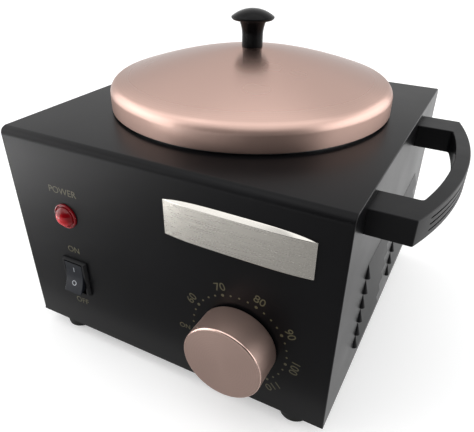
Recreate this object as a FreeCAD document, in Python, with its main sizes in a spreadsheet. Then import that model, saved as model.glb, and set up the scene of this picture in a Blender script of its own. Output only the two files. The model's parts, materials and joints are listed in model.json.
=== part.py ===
import FreeCAD, Part
import math
import os
from types import SimpleNamespace

import Sketcher

# Tabletop wax warmer: a sheet-steel housing on rubber feet holds a heated well. A loose pot stands
# in the well under a domed lid. The front carries a pilot lamp, a rocker switch and a thermostat dial.
# Millimetres, +Z up, the front faces -Y. The origin lies on the bench under the housing's centre.

SIZES = {
    # Housing: one wrapped sheet for front, top and back, two side panels and a base plate
    "housing_width": 230.0,
    "housing_depth": 230.0,
    "housing_height": 150.0,
    "sheet_wall": 1.2,
    "bend_radius": 5.0,
    "panel_edge_radius": 0.8,
    "lip_depth": 8.0,
    "flange_depth": 10.0,
    "base_screw_inset": 40.0,
    "base_screw_radius": 1.5,
    "base_screw_length": 6.0,
    "base_screw_head_radius": 2.8,
    "base_screw_head_height": 1.8,
    # Vent slots in the base plate
    "vent_length": 60.0,
    "vent_width": 4.0,
    "vent_pitch": 12.0,
    # Louvres pressed out of the side panels
    "louvre_length": 57.0,
    "louvre_reach": 2.6,
    "louvre_rise": 9.5,
    "louvre_pitch": 11.6,
    "louvre_lowest": 21.5,
    "louvre_centre": 10.0,
    "louvre_column_step": 89.0,
    # Feet
    "foot_height": 12.0,
    "foot_top_radius": 11.5,
    "foot_bottom_radius": 10.5,
    "foot_edge_radius": 0.9,
    "foot_inset_side": 23.0,
    "foot_inset_front": 15.0,
    "foot_recess_radius": 5.0,
    "foot_recess_depth": 6.0,
    "foot_screw_radius": 2.0,
    "foot_screw_head_radius": 4.0,
    "foot_screw_head_height": 2.6,
    "foot_nut_radius": 4.0,
    "foot_nut_height": 3.2,
    # Heating well and what is wrapped round it
    "well_offset": 9.0,
    "well_wall": 1.2,
    "wiring_space": 32.0,
    "well_corner": 8.0,
    "well_flange_width": 9.0,
    "well_screw_radius": 1.5,
    "well_screw_distance": 5.3,
    "well_screw_head_radius": 2.4,
    "well_screw_head_height": 1.4,
    "well_screw_length": 7.0,
    "band_wall": 2.0,
    "band_height": 50.0,
    "band_above_floor": 20.0,
    "band_gap": 10.0,
    "ear_reach": 11.0,
    "ear_wall": 2.0,
    "ear_height": 26.0,
    "ear_screw_radius": 1.5,
    "ear_screw_drop": 6.0,
    "ear_screw_head_radius": 2.8,
    "ear_screw_head_height": 2.0,
    "ear_nut_height": 2.4,
    "heater_tab_width": 6.0,
    "heater_tab_length": 20.0,
    "heater_tab_grip": 7.0,
    "insulation_wall": 5.0,
    "insulation_margin": 6.0,
    "insulation_gap": 44.0,
    # Pot
    "pot_radius": 84.0,
    "pot_wall": 1.5,
    "pot_corner": 12.0,
    "pot_lip_width": 7.0,
    "pot_lip_wall": 2.0,
    # Lid
    "lid_overhang": 7.0,
    "lid_wall": 1.2,
    "lid_lift": 1.5,
    "lid_apex": 39.0,
    "lid_rise": 22.2,
    "lid_dome_radius": 400.0,
    "lid_shoulder": 7.0,
    "lid_hole_radius": 2.2,
    "lid_knob_foot_radius": 7.1,
    "lid_knob_neck_height": 6.5,
    "lid_knob_flare_radius": 9.2,
    "lid_knob_flare_height": 16.1,
    "lid_knob_cap_radius": 14.8,
    "lid_knob_under_height": 16.7,
    "lid_knob_rim_height": 18.1,
    "lid_knob_height": 23.5,
    "lid_screw_radius": 2.0,
    "lid_screw_grip": 12.0,
    "lid_screw_head_radius": 3.6,
    "lid_screw_head_height": 2.6,
    "lid_washer_radius": 6.0,
    "lid_washer_wall": 1.0,
    # Carry handle on the right side
    "handle_length": 150.0,
    "handle_centre": -20.0,
    "handle_height": 15.0,
    "handle_drop": 5.0,
    "handle_leg_width": 22.0,
    "handle_reach": 24.0,
    "handle_bow": 14.0,
    "handle_grip": 8.6,
    "handle_inner_reach": 22.5,
    "handle_groove_width": 1.0,
    "handle_groove_depth": 0.7,
    "handle_groove_step": 3.6,
    "handle_groove_stop": 13.0,
    "handle_screw_radius": 2.5,
    "handle_screw_grip": 14.0,
    "handle_screw_head_radius": 4.5,
    "handle_screw_head_height": 3.0,
    # Pilot lamp and rocker switch, one above the other
    "control_inset": 44.5,
    "lamp_drop": 52.5,
    "lamp_flange_radius": 8.8,
    "lamp_flange_wall": 1.8,
    "lamp_dome_radius": 7.0,
    "lamp_dome_height": 6.2,
    "lamp_barrel_radius": 6.0,
    "lamp_barrel_length": 24.0,
    "lamp_nut_radius": 9.0,
    "lamp_nut_height": 3.0,
    "lamp_pin_spread": 8.0,
    "lamp_pin_length": 5.0,
    "lamp_pin_width": 2.8,
    "switch_height": 49.0,
    "bezel_width": 20.7,
    "bezel_height": 27.6,
    "bezel_wall": 2.8,
    "bezel_slope": 1.0,
    "bezel_slope_depth": 2.0,
    "switch_body_width": 19.2,
    "switch_body_height": 25.6,
    "switch_body_depth": 24.0,
    "rocker_width": 15.2,
    "rocker_height": 23.0,
    "rocker_end_height": 4.6,
    "rocker_middle_height": 2.6,
    "rocker_root_height": 5.5,
    "rocker_root_depth": 4.0,
    "rocker_tilt": 12.0,
    "pivot_radius": 1.2,
    "pivot_length": 1.0,
    "pivot_inset": 1.0,
    "switch_pocket_depth": 11.0,
    "tab_width": 6.3,
    "tab_wall": 0.8,
    "tab_length": 8.0,
    "switch_tab_spread": 16.0,
    # Thermostat and its dial
    "dial_inset": 58.0,
    "dial_height": 48.0,
    "dial_radius": 25.2,
    "dial_depth": 21.2,
    "dial_gap": 1.5,
    "dial_edge": 0.8,
    "dial_rim_width": 1.2,
    "dial_rim_step": 0.3,
    "dial_face_recess": 0.4,
    "dial_recess_radius": 13.0,
    "dial_recess_depth": 9.5,
    "dial_bore_depth": 17.0,
    "shaft_radius": 3.0,
    "shaft_sunk": 14.0,
    "grub_radius": 1.5,
    "thermostat_width": 38.0,
    "thermostat_height": 34.0,
    "thermostat_depth": 24.0,
    "bush_radius": 5.0,
    "bush_reach": 8.0,
    "bush_nut_radius": 8.0,
    "bush_nut_height": 3.0,
    "thermostat_tab_spread": 14.0,
    "capillary_radius": 0.8,
    "capillary_bend": 9.0,
    "capillary_offset": 14.0,
    "bulb_radius": 3.0,
    "bulb_length": 60.0,
    "bulb_inset": 43.5,
    "bulb_start": 40.0,
    # Thermal fuse, under the well's floor beside the bulb
    "fuse_radius": 2.0,
    "fuse_length": 26.0,
    "fuse_start": 44.0,
    "fuse_inset": 22.5,
    "clip_width": 12.0,
    "clip_wall": 1.5,
    # Nameplate
    "plate_width": 90.4,
    "plate_height": 22.5,
    "plate_wall": 2.0,
    "plate_bevel": 1.2,
    "plate_inset": 61.2,
    "plate_drop": 29.4,
    "plate_stud_radius": 1.2,
    "plate_stud_spread": 70.0,
    "plate_stud_length": 6.0,
    "plate_clip_radius": 4.0,
    "plate_clip_wall": 0.6,
    # Terminal block, earth stud and cord gland at the back left
    "block_inset": 38.5,
    "block_setback": 29.0,
    "block_depth": 20.0,
    "block_height": 17.0,
    "pole_pitch": 12.0,
    "pole_height": 9.0,
    "pole_bore_depth": 6.0,
    "block_screw_radius": 1.5,
    "block_screw_head_radius": 2.6,
    "block_screw_head_height": 1.8,
    "earth_stud_distance": 24.0,
    "earth_stud_radius": 2.0,
    "earth_stud_height": 12.0,
    "earth_lug_radius": 4.2,
    "earth_lug_wall": 1.6,
    "earth_nut_radius": 4.0,
    "earth_nut_height": 3.2,
    "gland_height": 28.0,
    "gland_bore_radius": 3.6,
    "gland_thread_radius": 6.0,
    "gland_thread_length": 10.0,
    "gland_head_radius": 9.0,
    "gland_head_length": 8.0,
    "gland_nut_height": 4.0,
    # Internal wires
    "wire_radius": 1.1,
    "wire_bend": 7.0,
    "wire_level": 9.0,
    # Clearances
    "hole_clearance": 0.2,
    "running_clearance": 0.05,
    "moving_clearance": 0.3,
    "seat_clearance": 0.1,
    "pot_clearance": 2.0,
}

LOUVRE_ROWS = 6
LOUVRE_COLUMNS = 2
VENT_ROWS = 5
GROOVES = 3
POLES = 4
WELL_SCREWS = 4

X_AXIS = FreeCAD.Vector(1, 0, 0)
Y_AXIS = FreeCAD.Vector(0, 1, 0)

# Each way is a unit step and the turn that lays a piece's own +Z along it.
WAYS = {
    "up": ((0, 0, 1), FreeCAD.Rotation()),
    "down": ((0, 0, -1), FreeCAD.Rotation(X_AXIS, 180)),
    "front": ((0, -1, 0), FreeCAD.Rotation(X_AXIS, 90)),
    "back": ((0, 1, 0), FreeCAD.Rotation(X_AXIS, -90)),
    "right": ((1, 0, 0), FreeCAD.Rotation(Y_AXIS, 90)),
    "left": ((-1, 0, 0), FreeCAD.Rotation(Y_AXIS, -90)),
}


class Size:
    """A length: its value in millimetres and the sheet expression that gives it."""

    def __init__(self, value, text):
        self.value = value
        self.text = text

    def __add__(self, other):
        other = as_size(other)
        return Size(self.value + other.value, f"({self.text} + {other.text})")

    def __sub__(self, other):
        other = as_size(other)
        return Size(self.value - other.value, f"({self.text} - {other.text})")

    def __mul__(self, other):
        other = as_size(other)
        return Size(self.value * other.value, f"({self.text} * {other.text})")

    def __truediv__(self, other):
        other = as_size(other)
        return Size(self.value / other.value, f"({self.text} / {other.text})")

    def __radd__(self, other):
        return as_size(other) + self

    def __rsub__(self, other):
        return as_size(other) - self

    def __rmul__(self, other):
        return as_size(other) * self

    def __neg__(self):
        return Size(-self.value, f"(0 - {self.text})")

    def root(self):
        return Size(math.sqrt(self.value), f"sqrt({self.text})")


def as_size(value):
    if isinstance(value, Size):
        return value
    return Size(float(value), repr(float(value)))


doc = FreeCAD.newDocument("wax_warmer")
sheet = doc.addObject("Spreadsheet::Sheet", "Sizes")
for row, (alias, value) in enumerate(SIZES.items(), 1):
    sheet.set(f"A{row}", alias)
    sheet.set(f"B{row}", str(value))
    sheet.setAlias(f"B{row}", alias)
doc.recompute()
size = SimpleNamespace(**{alias: Size(sheet.get(alias), f"Sizes.{alias}") for alias in SIZES})
pieces = {}


# Helpers: every size and place is tied to the sheet by an expression

def bind(thing, path, value):
    value = as_size(value)
    thing.setExpression(path, value.text)


def place(thing, at, way="up"):
    thing.Placement = FreeCAD.Placement(FreeCAD.Vector(), WAYS[way][1])
    for axis, value in zip("xyz", at):
        bind(thing, f"Placement.Base.{axis}", value)


def shift(at, way, distance):
    """The point a distance along one of the ways."""
    return tuple(as_size(place_on_axis) + step * as_size(distance) if step else as_size(place_on_axis)
                 for place_on_axis, step in zip(at, WAYS[way][0]))


def keep(name, solid):
    """Makes a finished solid a sub-part under its own name."""
    solid.Label = name
    pieces[name] = solid
    return solid


def box(low, high):
    solid = doc.addObject("Part::Box", "Block")
    for side, start, end in zip(("Length", "Width", "Height"), low, high):
        bind(solid, side, as_size(end) - as_size(start))
    place(solid, low)
    return solid


def rod(radius, start, length, way="up"):
    solid = doc.addObject("Part::Cylinder", "Rod")
    bind(solid, "Radius", radius)
    bind(solid, "Height", length)
    place(solid, start, way)
    return solid


def cone(start_radius, end_radius, start, length, way="up"):
    solid = doc.addObject("Part::Cone", "Taper")
    bind(solid, "Radius1", start_radius)
    bind(solid, "Radius2", end_radius)
    bind(solid, "Height", length)
    place(solid, start, way)
    return solid


def hexagon(radius, start, length, way="up"):
    solid = doc.addObject("Part::Prism", "Hexagon")
    solid.Polygon = 6
    bind(solid, "Circumradius", radius)
    bind(solid, "Height", length)
    place(solid, start, way)
    return solid


def fuse(*solids):
    joined = doc.addObject("Part::MultiFuse", "Joined")
    joined.Shapes = list(solids)
    joined.Refine = True
    return joined


def cut(base, *tools):
    trimmed = doc.addObject("Part::Cut", "Trimmed")
    trimmed.Base = base
    trimmed.Tool = tools[0] if len(tools) == 1 else fuse(*tools)
    trimmed.Refine = True
    return trimmed


def common(first, second):
    shared = doc.addObject("Part::Common", "Shared")
    shared.Base = first
    shared.Tool = second
    return shared


def group(*solids):
    """Several loose solids in one sub-part."""
    gathered = doc.addObject("Part::Compound", "Gathered")
    gathered.Links = list(solids)
    return gathered


def near(first, second):
    return abs(first - second) < 1e-3


def round_edges(base, radius, chosen):
    """Rounds the edges whose bounding box the test picks."""
    doc.recompute()
    rounded = doc.addObject("Part::Fillet", "Rounded")
    rounded.Base = base
    picked = [number for number, edge in enumerate(base.Shape.Edges, 1) if chosen(edge.BoundBox)]
    rounded.Edges = [(number, radius.value, radius.value) for number in picked]
    return rounded


def screw(seat, way, shank_radius, length, head_radius, head_height):
    """A screw whose head sits on the seat and whose shank runs along the way."""
    head = rod(head_radius, shift(seat, way, -head_height), head_height, way)
    shank = rod(shank_radius, shift(seat, way, -head_height), length + head_height, way)
    return fuse(head, shank)


def nut(seat, way, radius, height, bore):
    """A hexagon nut that starts on the seat and stands along the way."""
    return cut(hexagon(radius, seat, height, way), rod(bore, seat, height, way))


def arc_between(start, end, radius):
    """The minor arc that bulges to the right of the way from start to end, or to the left if negative."""
    chord = end - start
    half = chord.Length / 2
    left = FreeCAD.Vector(-chord.y, chord.x, 0).normalize()
    apart = math.sqrt(max(radius * radius - half * half, 0.0))
    centre = (start + end) * 0.5 + left * math.copysign(apart, radius)
    circle = Part.Circle(centre, FreeCAD.Vector(0, 0, 1), abs(radius))
    first, last = (start, end) if radius > 0 else (end, start)
    begin = math.atan2(first.y - centre.y, first.x - centre.x)
    finish = math.atan2(last.y - centre.y, last.x - centre.x)
    return Part.ArcOfCircle(circle, begin, finish if finish > begin else finish + 2 * math.pi)


def fix_point(sketch, edge, end, point):
    """Ties one sketch point to its two sizes."""
    for kind, axis, value in (("DistanceX", -2, point[0]), ("DistanceY", -1, point[1])):
        value = as_size(value)
        if value.value == 0:
            sketch.addConstraint(Sketcher.Constraint("PointOnObject", edge, end, axis))
        elif value.value > 0:
            number = sketch.addConstraint(Sketcher.Constraint(kind, -1, 1, edge, end, value.value))
            sketch.setExpression(f"Constraints[{number}]", value.text)
        else:
            number = sketch.addConstraint(Sketcher.Constraint(kind, edge, end, -1, 1, -value.value))
            sketch.setExpression(f"Constraints[{number}]", (-value).text)


def draw(sketch, outline):
    """Draws a closed outline. A third number on a point is the radius of the arc that reaches it."""
    spots = [FreeCAD.Vector(as_size(point[0]).value, as_size(point[1]).value, 0) for point in outline]
    ends = []
    for number, point in enumerate(outline):
        start = spots[number - 1]
        end = spots[number]
        radius = as_size(point[2]).value if len(point) == 3 else 0
        if radius:
            edge = sketch.addGeometry(arc_between(start, end, radius))
        else:
            edge = sketch.addGeometry(Part.LineSegment(start, end))
        ends.append((edge, 2, 1) if radius < 0 else (edge, 1, 2))
    for number, point in enumerate(outline):
        edge, first, last = ends[number]
        before = ends[number - 1]
        sketch.addConstraint(Sketcher.Constraint("Coincident", before[0], before[2], edge, first))
        fix_point(sketch, edge, last, point)
        if len(point) == 3:
            radius = as_size(point[2])
            radius = radius if radius.value > 0 else -radius
            number = sketch.addConstraint(Sketcher.Constraint("Radius", edge, radius.value))
            sketch.setExpression(f"Constraints[{number}]", radius.text)


def new_sketch(body, plane, outline):
    sketch = body.newObject("Sketcher::SketchObject", "Outline")
    support = [feature for feature in body.Origin.OriginFeatures if feature.Role == plane]
    sketch.AttachmentSupport = [(support[0], "")]
    sketch.MapMode = "FlatFace"
    draw(sketch, outline)
    return sketch


def turned(outline, at, way="up"):
    """A body turned about its own Z from a half outline of (radius, height) points."""
    body = doc.addObject("PartDesign::Body", "Turned")
    revolution = body.newObject("PartDesign::Revolution", "Turn")
    sketch = new_sketch(body, "XZ_Plane", outline)
    revolution.Profile = sketch
    revolution.ReferenceAxis = (sketch, ["V_Axis"])
    revolution.Angle = 360
    body.Tip = revolution
    place(body, at, way)
    return body


def padded(outline, plane, length, at):
    """A body pushed out of an outline, half to each side of its plane."""
    body = doc.addObject("PartDesign::Body", "Padded")
    pad = body.newObject("PartDesign::Pad", "Push")
    pad.Profile = new_sketch(body, plane, outline)
    pad.Midplane = True
    bind(pad, "Length", length)
    body.Tip = pad
    place(body, at)
    return body


def rounded_route(points, bend):
    """Straight runs through the points, joined by tangent arcs no larger than the bend."""
    edges = []
    start = points[0]
    for before, corner, after in zip(points, points[1:], points[2:]):
        arriving = (corner - before).normalize()
        leaving = (after - corner).normalize()
        turn = math.tan(arriving.getAngle(leaving) / 2)
        if near(turn, 0):
            continue
        shorter = min((corner - before).Length, (after - corner).Length)
        trim = min(bend * turn, 0.45 * shorter)
        radius = trim / turn
        enter = corner - arriving * trim
        leave = corner + leaving * trim
        inward = (leaving - arriving).normalize()
        middle = corner + inward * (math.hypot(radius, trim) - radius)
        edges.append(Part.LineSegment(start, enter).toShape())
        edges.append(Part.Arc(enter, middle, leave).toShape())
        start = leave
    edges.append(Part.LineSegment(start, points[-1]).toShape())
    return Part.Wire(edges)


def wire(name, radius, bend, *route):
    """A round wire along a route of points, made whole."""
    points = [FreeCAD.Vector(*(as_size(value).value for value in point)) for point in route]
    spine = rounded_route(points, as_size(bend).value)
    section = Part.Wire(Part.makeCircle(radius.value, points[0], points[1] - points[0]))
    feature = doc.addObject("Part::Feature", "Wire")
    feature.Shape = spine.makePipeShell([section], True, True)
    expected = math.pi * radius.value ** 2 * spine.Length
    print(f"{name}: {spine.Length:.0f} mm long, volume {feature.Shape.Volume / expected:.4f} of expected")
    keep(name, feature)


# Places that several sub-parts share

half_width = size.housing_width / 2
half_depth = size.housing_depth / 2
side_inside = half_width - size.sheet_wall
front = -half_depth
front_inside = front + size.sheet_wall
back_inside = half_depth - size.sheet_wall
bottom = size.foot_height
floor = bottom + size.sheet_wall
top = bottom + size.housing_height
roof_inside = top - size.sheet_wall

well_radius = size.pot_radius + size.pot_clearance
well_outside = well_radius + size.well_wall
well_depth = size.housing_height - size.wiring_space
well_floor = top - well_depth
well_underside = well_floor - size.well_wall
well_flange_radius = well_radius + size.well_flange_width
well_flange_top = top + size.well_wall
well_screw_circle = well_radius + size.well_screw_distance
band_inside = well_outside + size.seat_clearance
band_outside = band_inside + size.band_wall
band_low = well_floor + size.band_above_floor
ear_middle = band_low + size.band_height / 2
ear_face = size.band_gap / 2 + size.ear_wall
ear_tip = band_outside + size.ear_reach

column = size.control_inset - half_width
dial_across = half_width - size.dial_inset
plate_across = half_width - size.plate_inset
block_across = size.block_inset - half_width
lamp_level = top - size.lamp_drop
switch_level = bottom + size.switch_height
dial_level = bottom + size.dial_height
plate_level = top - size.plate_drop

pot_lip_radius = size.pot_radius + size.pot_lip_width
lid_radius = pot_lip_radius + size.lid_overhang

# The lid's dome is turned from an arc that runs from the apex to the skirt's edge. The arc's centre
# lies beyond the lid's axis, so the dome comes to a slight point.
dome_chord = (lid_radius * lid_radius + size.lid_rise * size.lid_rise).root()
dome_reach = (size.lid_dome_radius * size.lid_dome_radius - dome_chord * dome_chord / 4).root()
dome_beyond = dome_reach * size.lid_rise / dome_chord - lid_radius / 2
dome_centre = top + size.lid_apex - size.lid_rise / 2 - dome_reach * lid_radius / dome_chord
dome_inside = size.lid_dome_radius - size.lid_wall


def dome_level(arc_radius, distance):
    """The height of the dome's outer or inner face at a distance from the lid's axis."""
    across = distance + dome_beyond
    return dome_centre + (arc_radius * arc_radius - across * across).root()


pot_lip_top = dome_level(dome_inside, pot_lip_radius) - size.moving_clearance

SIDES = ((-1, "left"), (1, "right"))
ENDS = ((-1, "front"), (1, "rear"))


# Housing

def foot_spots():
    """Names and places of the four feet."""
    for end, end_name in ENDS:
        for side, side_name in SIDES:
            across = side * (half_width - size.foot_inset_side)
            along = end * (half_depth - size.foot_inset_front)
            yield f"foot_{end_name}_{side_name}", across, along


def base_screw_spots():
    for end, _ in ENDS:
        for side, _ in SIDES:
            along = end * (back_inside - size.lip_depth / 2)
            yield side * (half_width - size.base_screw_inset), along


def well_screw_spots():
    """Places of the flange's screws, midway between the housing's axes."""
    for quarter in range(WELL_SCREWS):
        angle = math.radians(45 + 360 / WELL_SCREWS * quarter)
        across = well_screw_circle * math.cos(angle)
        along = size.well_offset + well_screw_circle * math.sin(angle)
        yield across, along


def plate_stud_spots():
    for side, _ in SIDES:
        yield plate_across + side * size.plate_stud_spread / 2


def handle_screw_spots():
    for end, _ in ENDS:
        yield size.handle_centre + end * (size.handle_length - size.handle_leg_width) / 2


handle_middle = top - size.handle_drop - size.handle_height / 2
gland_level = bottom + size.gland_height
through = 4 * size.sheet_wall


def bent_block(low, high, radius):
    """A block with its two upper cross edges rounded, as a bent sheet has them."""
    block = box(low, high)
    return round_edges(block, radius, lambda edge: near(edge.ZMin, edge.ZMax) and near(edge.YMin, edge.YMax)
                       and near(edge.ZMax, as_size(high[2]).value))


def make_housing_shell():
    outer = bent_block((-side_inside, front, floor), (side_inside, half_depth, top), size.bend_radius)
    inner = bent_block((-half_width, front_inside, bottom), (half_width, back_inside, roof_inside),
                       size.bend_radius - size.sheet_wall)
    front_lip = box((-side_inside, front_inside, floor),
                    (side_inside, front_inside + size.lip_depth, floor + size.sheet_wall))
    back_lip = box((-side_inside, back_inside - size.lip_depth, floor),
                   (side_inside, back_inside, floor + size.sheet_wall))
    sheet_metal = fuse(cut(outer, inner), front_lip, back_lip)
    panel_back = front + through
    cuts = [rod(well_outside + size.hole_clearance, (0, size.well_offset, top - through), 2 * through)]
    for across, along in well_screw_spots():
        cuts.append(rod(size.well_screw_radius + size.hole_clearance, (across, along, top - through),
                        2 * through))
    for across, along in base_screw_spots():
        cuts.append(rod(size.base_screw_radius, (across, along, bottom), through))
    for across, level, radius in (
        (column, lamp_level, size.lamp_barrel_radius + size.hole_clearance),
        (dial_across, dial_level, size.bush_radius + size.hole_clearance),
        *((across, plate_level, size.plate_stud_radius + size.hole_clearance)
          for across in plate_stud_spots()),
    ):
        cuts.append(rod(radius, (across, panel_back, level), 2 * through, "front"))
    cuts.append(box((column - size.switch_body_width / 2 - size.hole_clearance, front - through,
                     switch_level - size.switch_body_height / 2 - size.hole_clearance),
                    (column + size.switch_body_width / 2 + size.hole_clearance, panel_back,
                     switch_level + size.switch_body_height / 2 + size.hole_clearance)))
    cuts.append(rod(size.gland_thread_radius + size.hole_clearance,
                    (block_across, back_inside - through, gland_level), 3 * through, "back"))
    keep("housing_shell", cut(sheet_metal, *cuts))


def louvre(side, middle, level, shrink):
    """A wedge with half-cone ends that leans out of a side panel. Shrunk, it is the hollow inside one."""
    reach = size.louvre_reach - shrink
    rise = size.louvre_rise * reach / size.louvre_reach
    half_length = size.louvre_length / 2 - size.louvre_reach
    wedge = doc.addObject("Part::Wedge", "Lean")
    for corner, value in (("Xmin", -half_length), ("Xmax", half_length),
                          ("X2min", -half_length), ("X2max", half_length),
                          ("Ymin", 0), ("Ymax", rise), ("Zmin", 0), ("Zmax", reach),
                          ("Z2min", 0), ("Z2max", size.seat_clearance)):
        bind(wedge, corner, value)
    spots = FreeCAD.Matrix(0, 0, side, 0, side, 0, 0, 0, 0, 1, 0, 0, 0, 0, 0, 1)
    wedge.Placement = FreeCAD.Placement(spots)
    for axis, value in zip("xyz", (side * half_width, middle, level)):
        bind(wedge, f"Placement.Base.{axis}", value)
    ends = [cone(reach, size.seat_clearance, (side * half_width, middle + end * half_length, level), rise)
            for end, _ in ENDS]
    return [wedge, *ends]


def louvre_spots():
    for row in range(LOUVRE_ROWS):
        for column_number in range(LOUVRE_COLUMNS):
            middle = size.louvre_centre + (column_number - (LOUVRE_COLUMNS - 1) / 2) * size.louvre_column_step
            yield middle, bottom + size.louvre_lowest + row * size.louvre_pitch


def make_side_panel(side, name):
    def panel_box(inner_x, outer_x, low_y, high_y, low_z, high_z):
        xs = sorted((side * inner_x, side * outer_x), key=lambda place_on_axis: place_on_axis.value)
        return box((xs[0], low_y, low_z), (xs[1], high_y, high_z))

    plate = panel_box(side_inside, half_width, front, half_depth, floor, top)
    plate = round_edges(plate, size.bend_radius,
                        lambda edge: near(edge.ZMin, top.value) and near(edge.YMin, edge.YMax))
    plate = round_edges(plate, size.panel_edge_radius,
                        lambda edge: near(edge.XMin, edge.XMax) and near(edge.XMin, side * half_width.value)
                        and edge.ZMax > bottom.value + size.bend_radius.value)
    lip_top = floor + size.sheet_wall
    flange_inner = side_inside - size.flange_depth
    bend_low = top - size.bend_radius
    flanges = [
        panel_box(flange_inner, side_inside, front_inside, front_inside + size.sheet_wall, lip_top, bend_low),
        panel_box(flange_inner, side_inside, back_inside - size.sheet_wall, back_inside, lip_top, bend_low),
        panel_box(flange_inner, side_inside, front + size.bend_radius, half_depth - size.bend_radius,
                  roof_inside - size.sheet_wall, roof_inside),
        panel_box(flange_inner, side_inside, front_inside + size.lip_depth, back_inside - size.lip_depth,
                  floor, lip_top),
    ]
    hoods = []
    hollows = []
    for middle, level in louvre_spots():
        hoods += louvre(side, middle, level, 0)
        hollows += louvre(side, middle, level, size.sheet_wall)
    inside_of_plate = panel_box(side_inside - size.louvre_reach, side_inside, front, half_depth, floor, top)
    pressed = cut(fuse(plate, *hoods), fuse(*hollows))
    panel = fuse(cut(pressed, inside_of_plate), *flanges)
    if name == "right":
        holes = [rod(size.handle_screw_radius + size.hole_clearance,
                     (side_inside - through, along, handle_middle), 2 * through, "right")
                 for along in handle_screw_spots()]
        panel = cut(panel, *holes)
    keep(f"{name}_side_panel", panel)


def make_base_plate():
    plate = box((-half_width, front, bottom), (half_width, half_depth, floor))
    holes = [rod(size.foot_screw_radius + size.hole_clearance, (across, along, bottom - through), 2 * through)
             for _, across, along in foot_spots()]
    base_screw_hole = size.base_screw_radius + size.hole_clearance
    holes += [rod(base_screw_hole, (across, along, bottom - through), 2 * through)
              for across, along in base_screw_spots()]
    holes += [rod(size.block_screw_radius, (across, along, bottom - through), 2 * through)
              for across, along in block_screw_spots()]
    holes.append(rod(size.earth_stud_radius, (earth_across, earth_along, bottom - through), 2 * through))
    for row in range(VENT_ROWS):
        along = (row - (VENT_ROWS - 1) / 2) * size.vent_pitch
        holes.append(box((-size.vent_length / 2, along - size.vent_width / 2, bottom - through),
                         (size.vent_length / 2, along + size.vent_width / 2, bottom + through)))
    keep("base_plate", cut(plate, *holes))


def make_base_screws():
    keep("base_screws", group(*(
        screw((across, along, bottom), "up", size.base_screw_radius, size.base_screw_length,
              size.base_screw_head_radius, size.base_screw_head_height)
        for across, along in base_screw_spots())))


def make_feet():
    hole = size.foot_screw_radius + size.hole_clearance
    slope = size.foot_top_radius - size.foot_bottom_radius
    edge = size.foot_edge_radius
    outline = [
        (size.foot_recess_radius, 0),
        (size.foot_bottom_radius - edge, 0),
        (size.foot_bottom_radius + slope * edge / size.foot_height, edge, edge * 1.15),
        (size.foot_top_radius, size.foot_height),
        (hole, size.foot_height),
        (hole, size.foot_recess_depth),
        (size.foot_recess_radius, size.foot_recess_depth),
    ]
    screws = []
    nuts = []
    nut_bore = size.foot_screw_radius + size.seat_clearance
    reach = size.foot_height - size.foot_recess_depth + size.sheet_wall + size.foot_nut_height
    for name, across, along in foot_spots():
        keep(name, turned(outline, (across, along, 0)))
        screws.append(screw((across, along, size.foot_recess_depth), "up", size.foot_screw_radius, reach,
                            size.foot_screw_head_radius, size.foot_screw_head_height))
        nuts.append(nut((across, along, floor), "up", size.foot_nut_radius, size.foot_nut_height, nut_bore))
    keep("foot_screws", group(*screws))
    keep("foot_nuts", group(*nuts))


# Heating well, heater and sensors

def make_heating_well():
    corner = size.well_corner
    outside_corner = corner + size.well_wall
    outline = [
        (0, -size.well_wall),
        (well_radius - corner, -size.well_wall),
        (well_outside, corner, outside_corner),
        (well_outside, well_depth),
        (well_flange_radius, well_depth),
        (well_flange_radius, well_depth + size.well_wall),
        (well_radius, well_depth + size.well_wall),
        (well_radius, corner),
        (well_radius - corner, 0, -corner),
        (0, 0),
    ]
    cup = turned(outline, (0, size.well_offset, well_floor))
    holes = [rod(size.well_screw_radius + size.hole_clearance, (across, along, top - through), 2 * through)
             for across, along in well_screw_spots()]
    keep("heating_well", cut(cup, *holes))
    keep("well_screws", group(*(
        screw((across, along, well_flange_top), "down", size.well_screw_radius, size.well_screw_length,
              size.well_screw_head_radius, size.well_screw_head_height)
        for across, along in well_screw_spots())))


def make_heater():
    """A split band round the well, drawn tight by a screw through two ears on the left."""
    ring = cut(rod(band_outside, (0, size.well_offset, band_low), size.band_height),
               rod(band_inside, (0, size.well_offset, band_low), size.band_height))
    split = box((-ear_tip, size.well_offset - size.band_gap / 2, band_low),
                (0, size.well_offset + size.band_gap / 2, band_low + size.band_height))
    ear_low = ear_middle - size.ear_height / 2
    ear_high = ear_middle + size.ear_height / 2
    screw_level = ear_middle + size.ear_screw_drop
    screw_across = -(band_outside + size.ear_reach / 2)
    root = band_inside + size.band_wall / 2
    ears = []
    tabs = []
    for end, _ in ENDS:
        faces = sorted((size.well_offset + end * size.band_gap / 2, size.well_offset + end * ear_face),
                       key=lambda face: face.value)
        ears.append(box((-ear_tip, faces[0], ear_low), (-root, faces[1], ear_high)))
        tab_faces = sorted((size.well_offset + end * ear_face,
                            size.well_offset + end * (ear_face + size.tab_wall)),
                           key=lambda face: face.value)
        tab_top = ear_low + size.heater_tab_grip
        tabs.append(box((-ear_tip, tab_faces[0], tab_top - size.heater_tab_length),
                        (-(ear_tip - size.heater_tab_width), tab_faces[1], tab_top)))
    bore = rod(size.ear_screw_radius + size.hole_clearance,
               (screw_across, size.well_offset - 2 * ear_face, screw_level), 4 * ear_face, "back")
    keep("heater_band", cut(fuse(cut(ring, split), *ears), bore))
    keep("heater_terminals", group(*tabs))
    near_face = (screw_across, size.well_offset - ear_face, screw_level)
    far_face = (screw_across, size.well_offset + ear_face, screw_level)
    keep("heater_clamp_screw", screw(near_face, "back", size.ear_screw_radius,
                                     2 * ear_face + size.ear_nut_height,
                                     size.ear_screw_head_radius, size.ear_screw_head_height))
    keep("heater_clamp_nut", nut(far_face, "back", size.ear_screw_head_radius, size.ear_nut_height,
                                 size.ear_screw_radius + size.seat_clearance))


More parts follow.
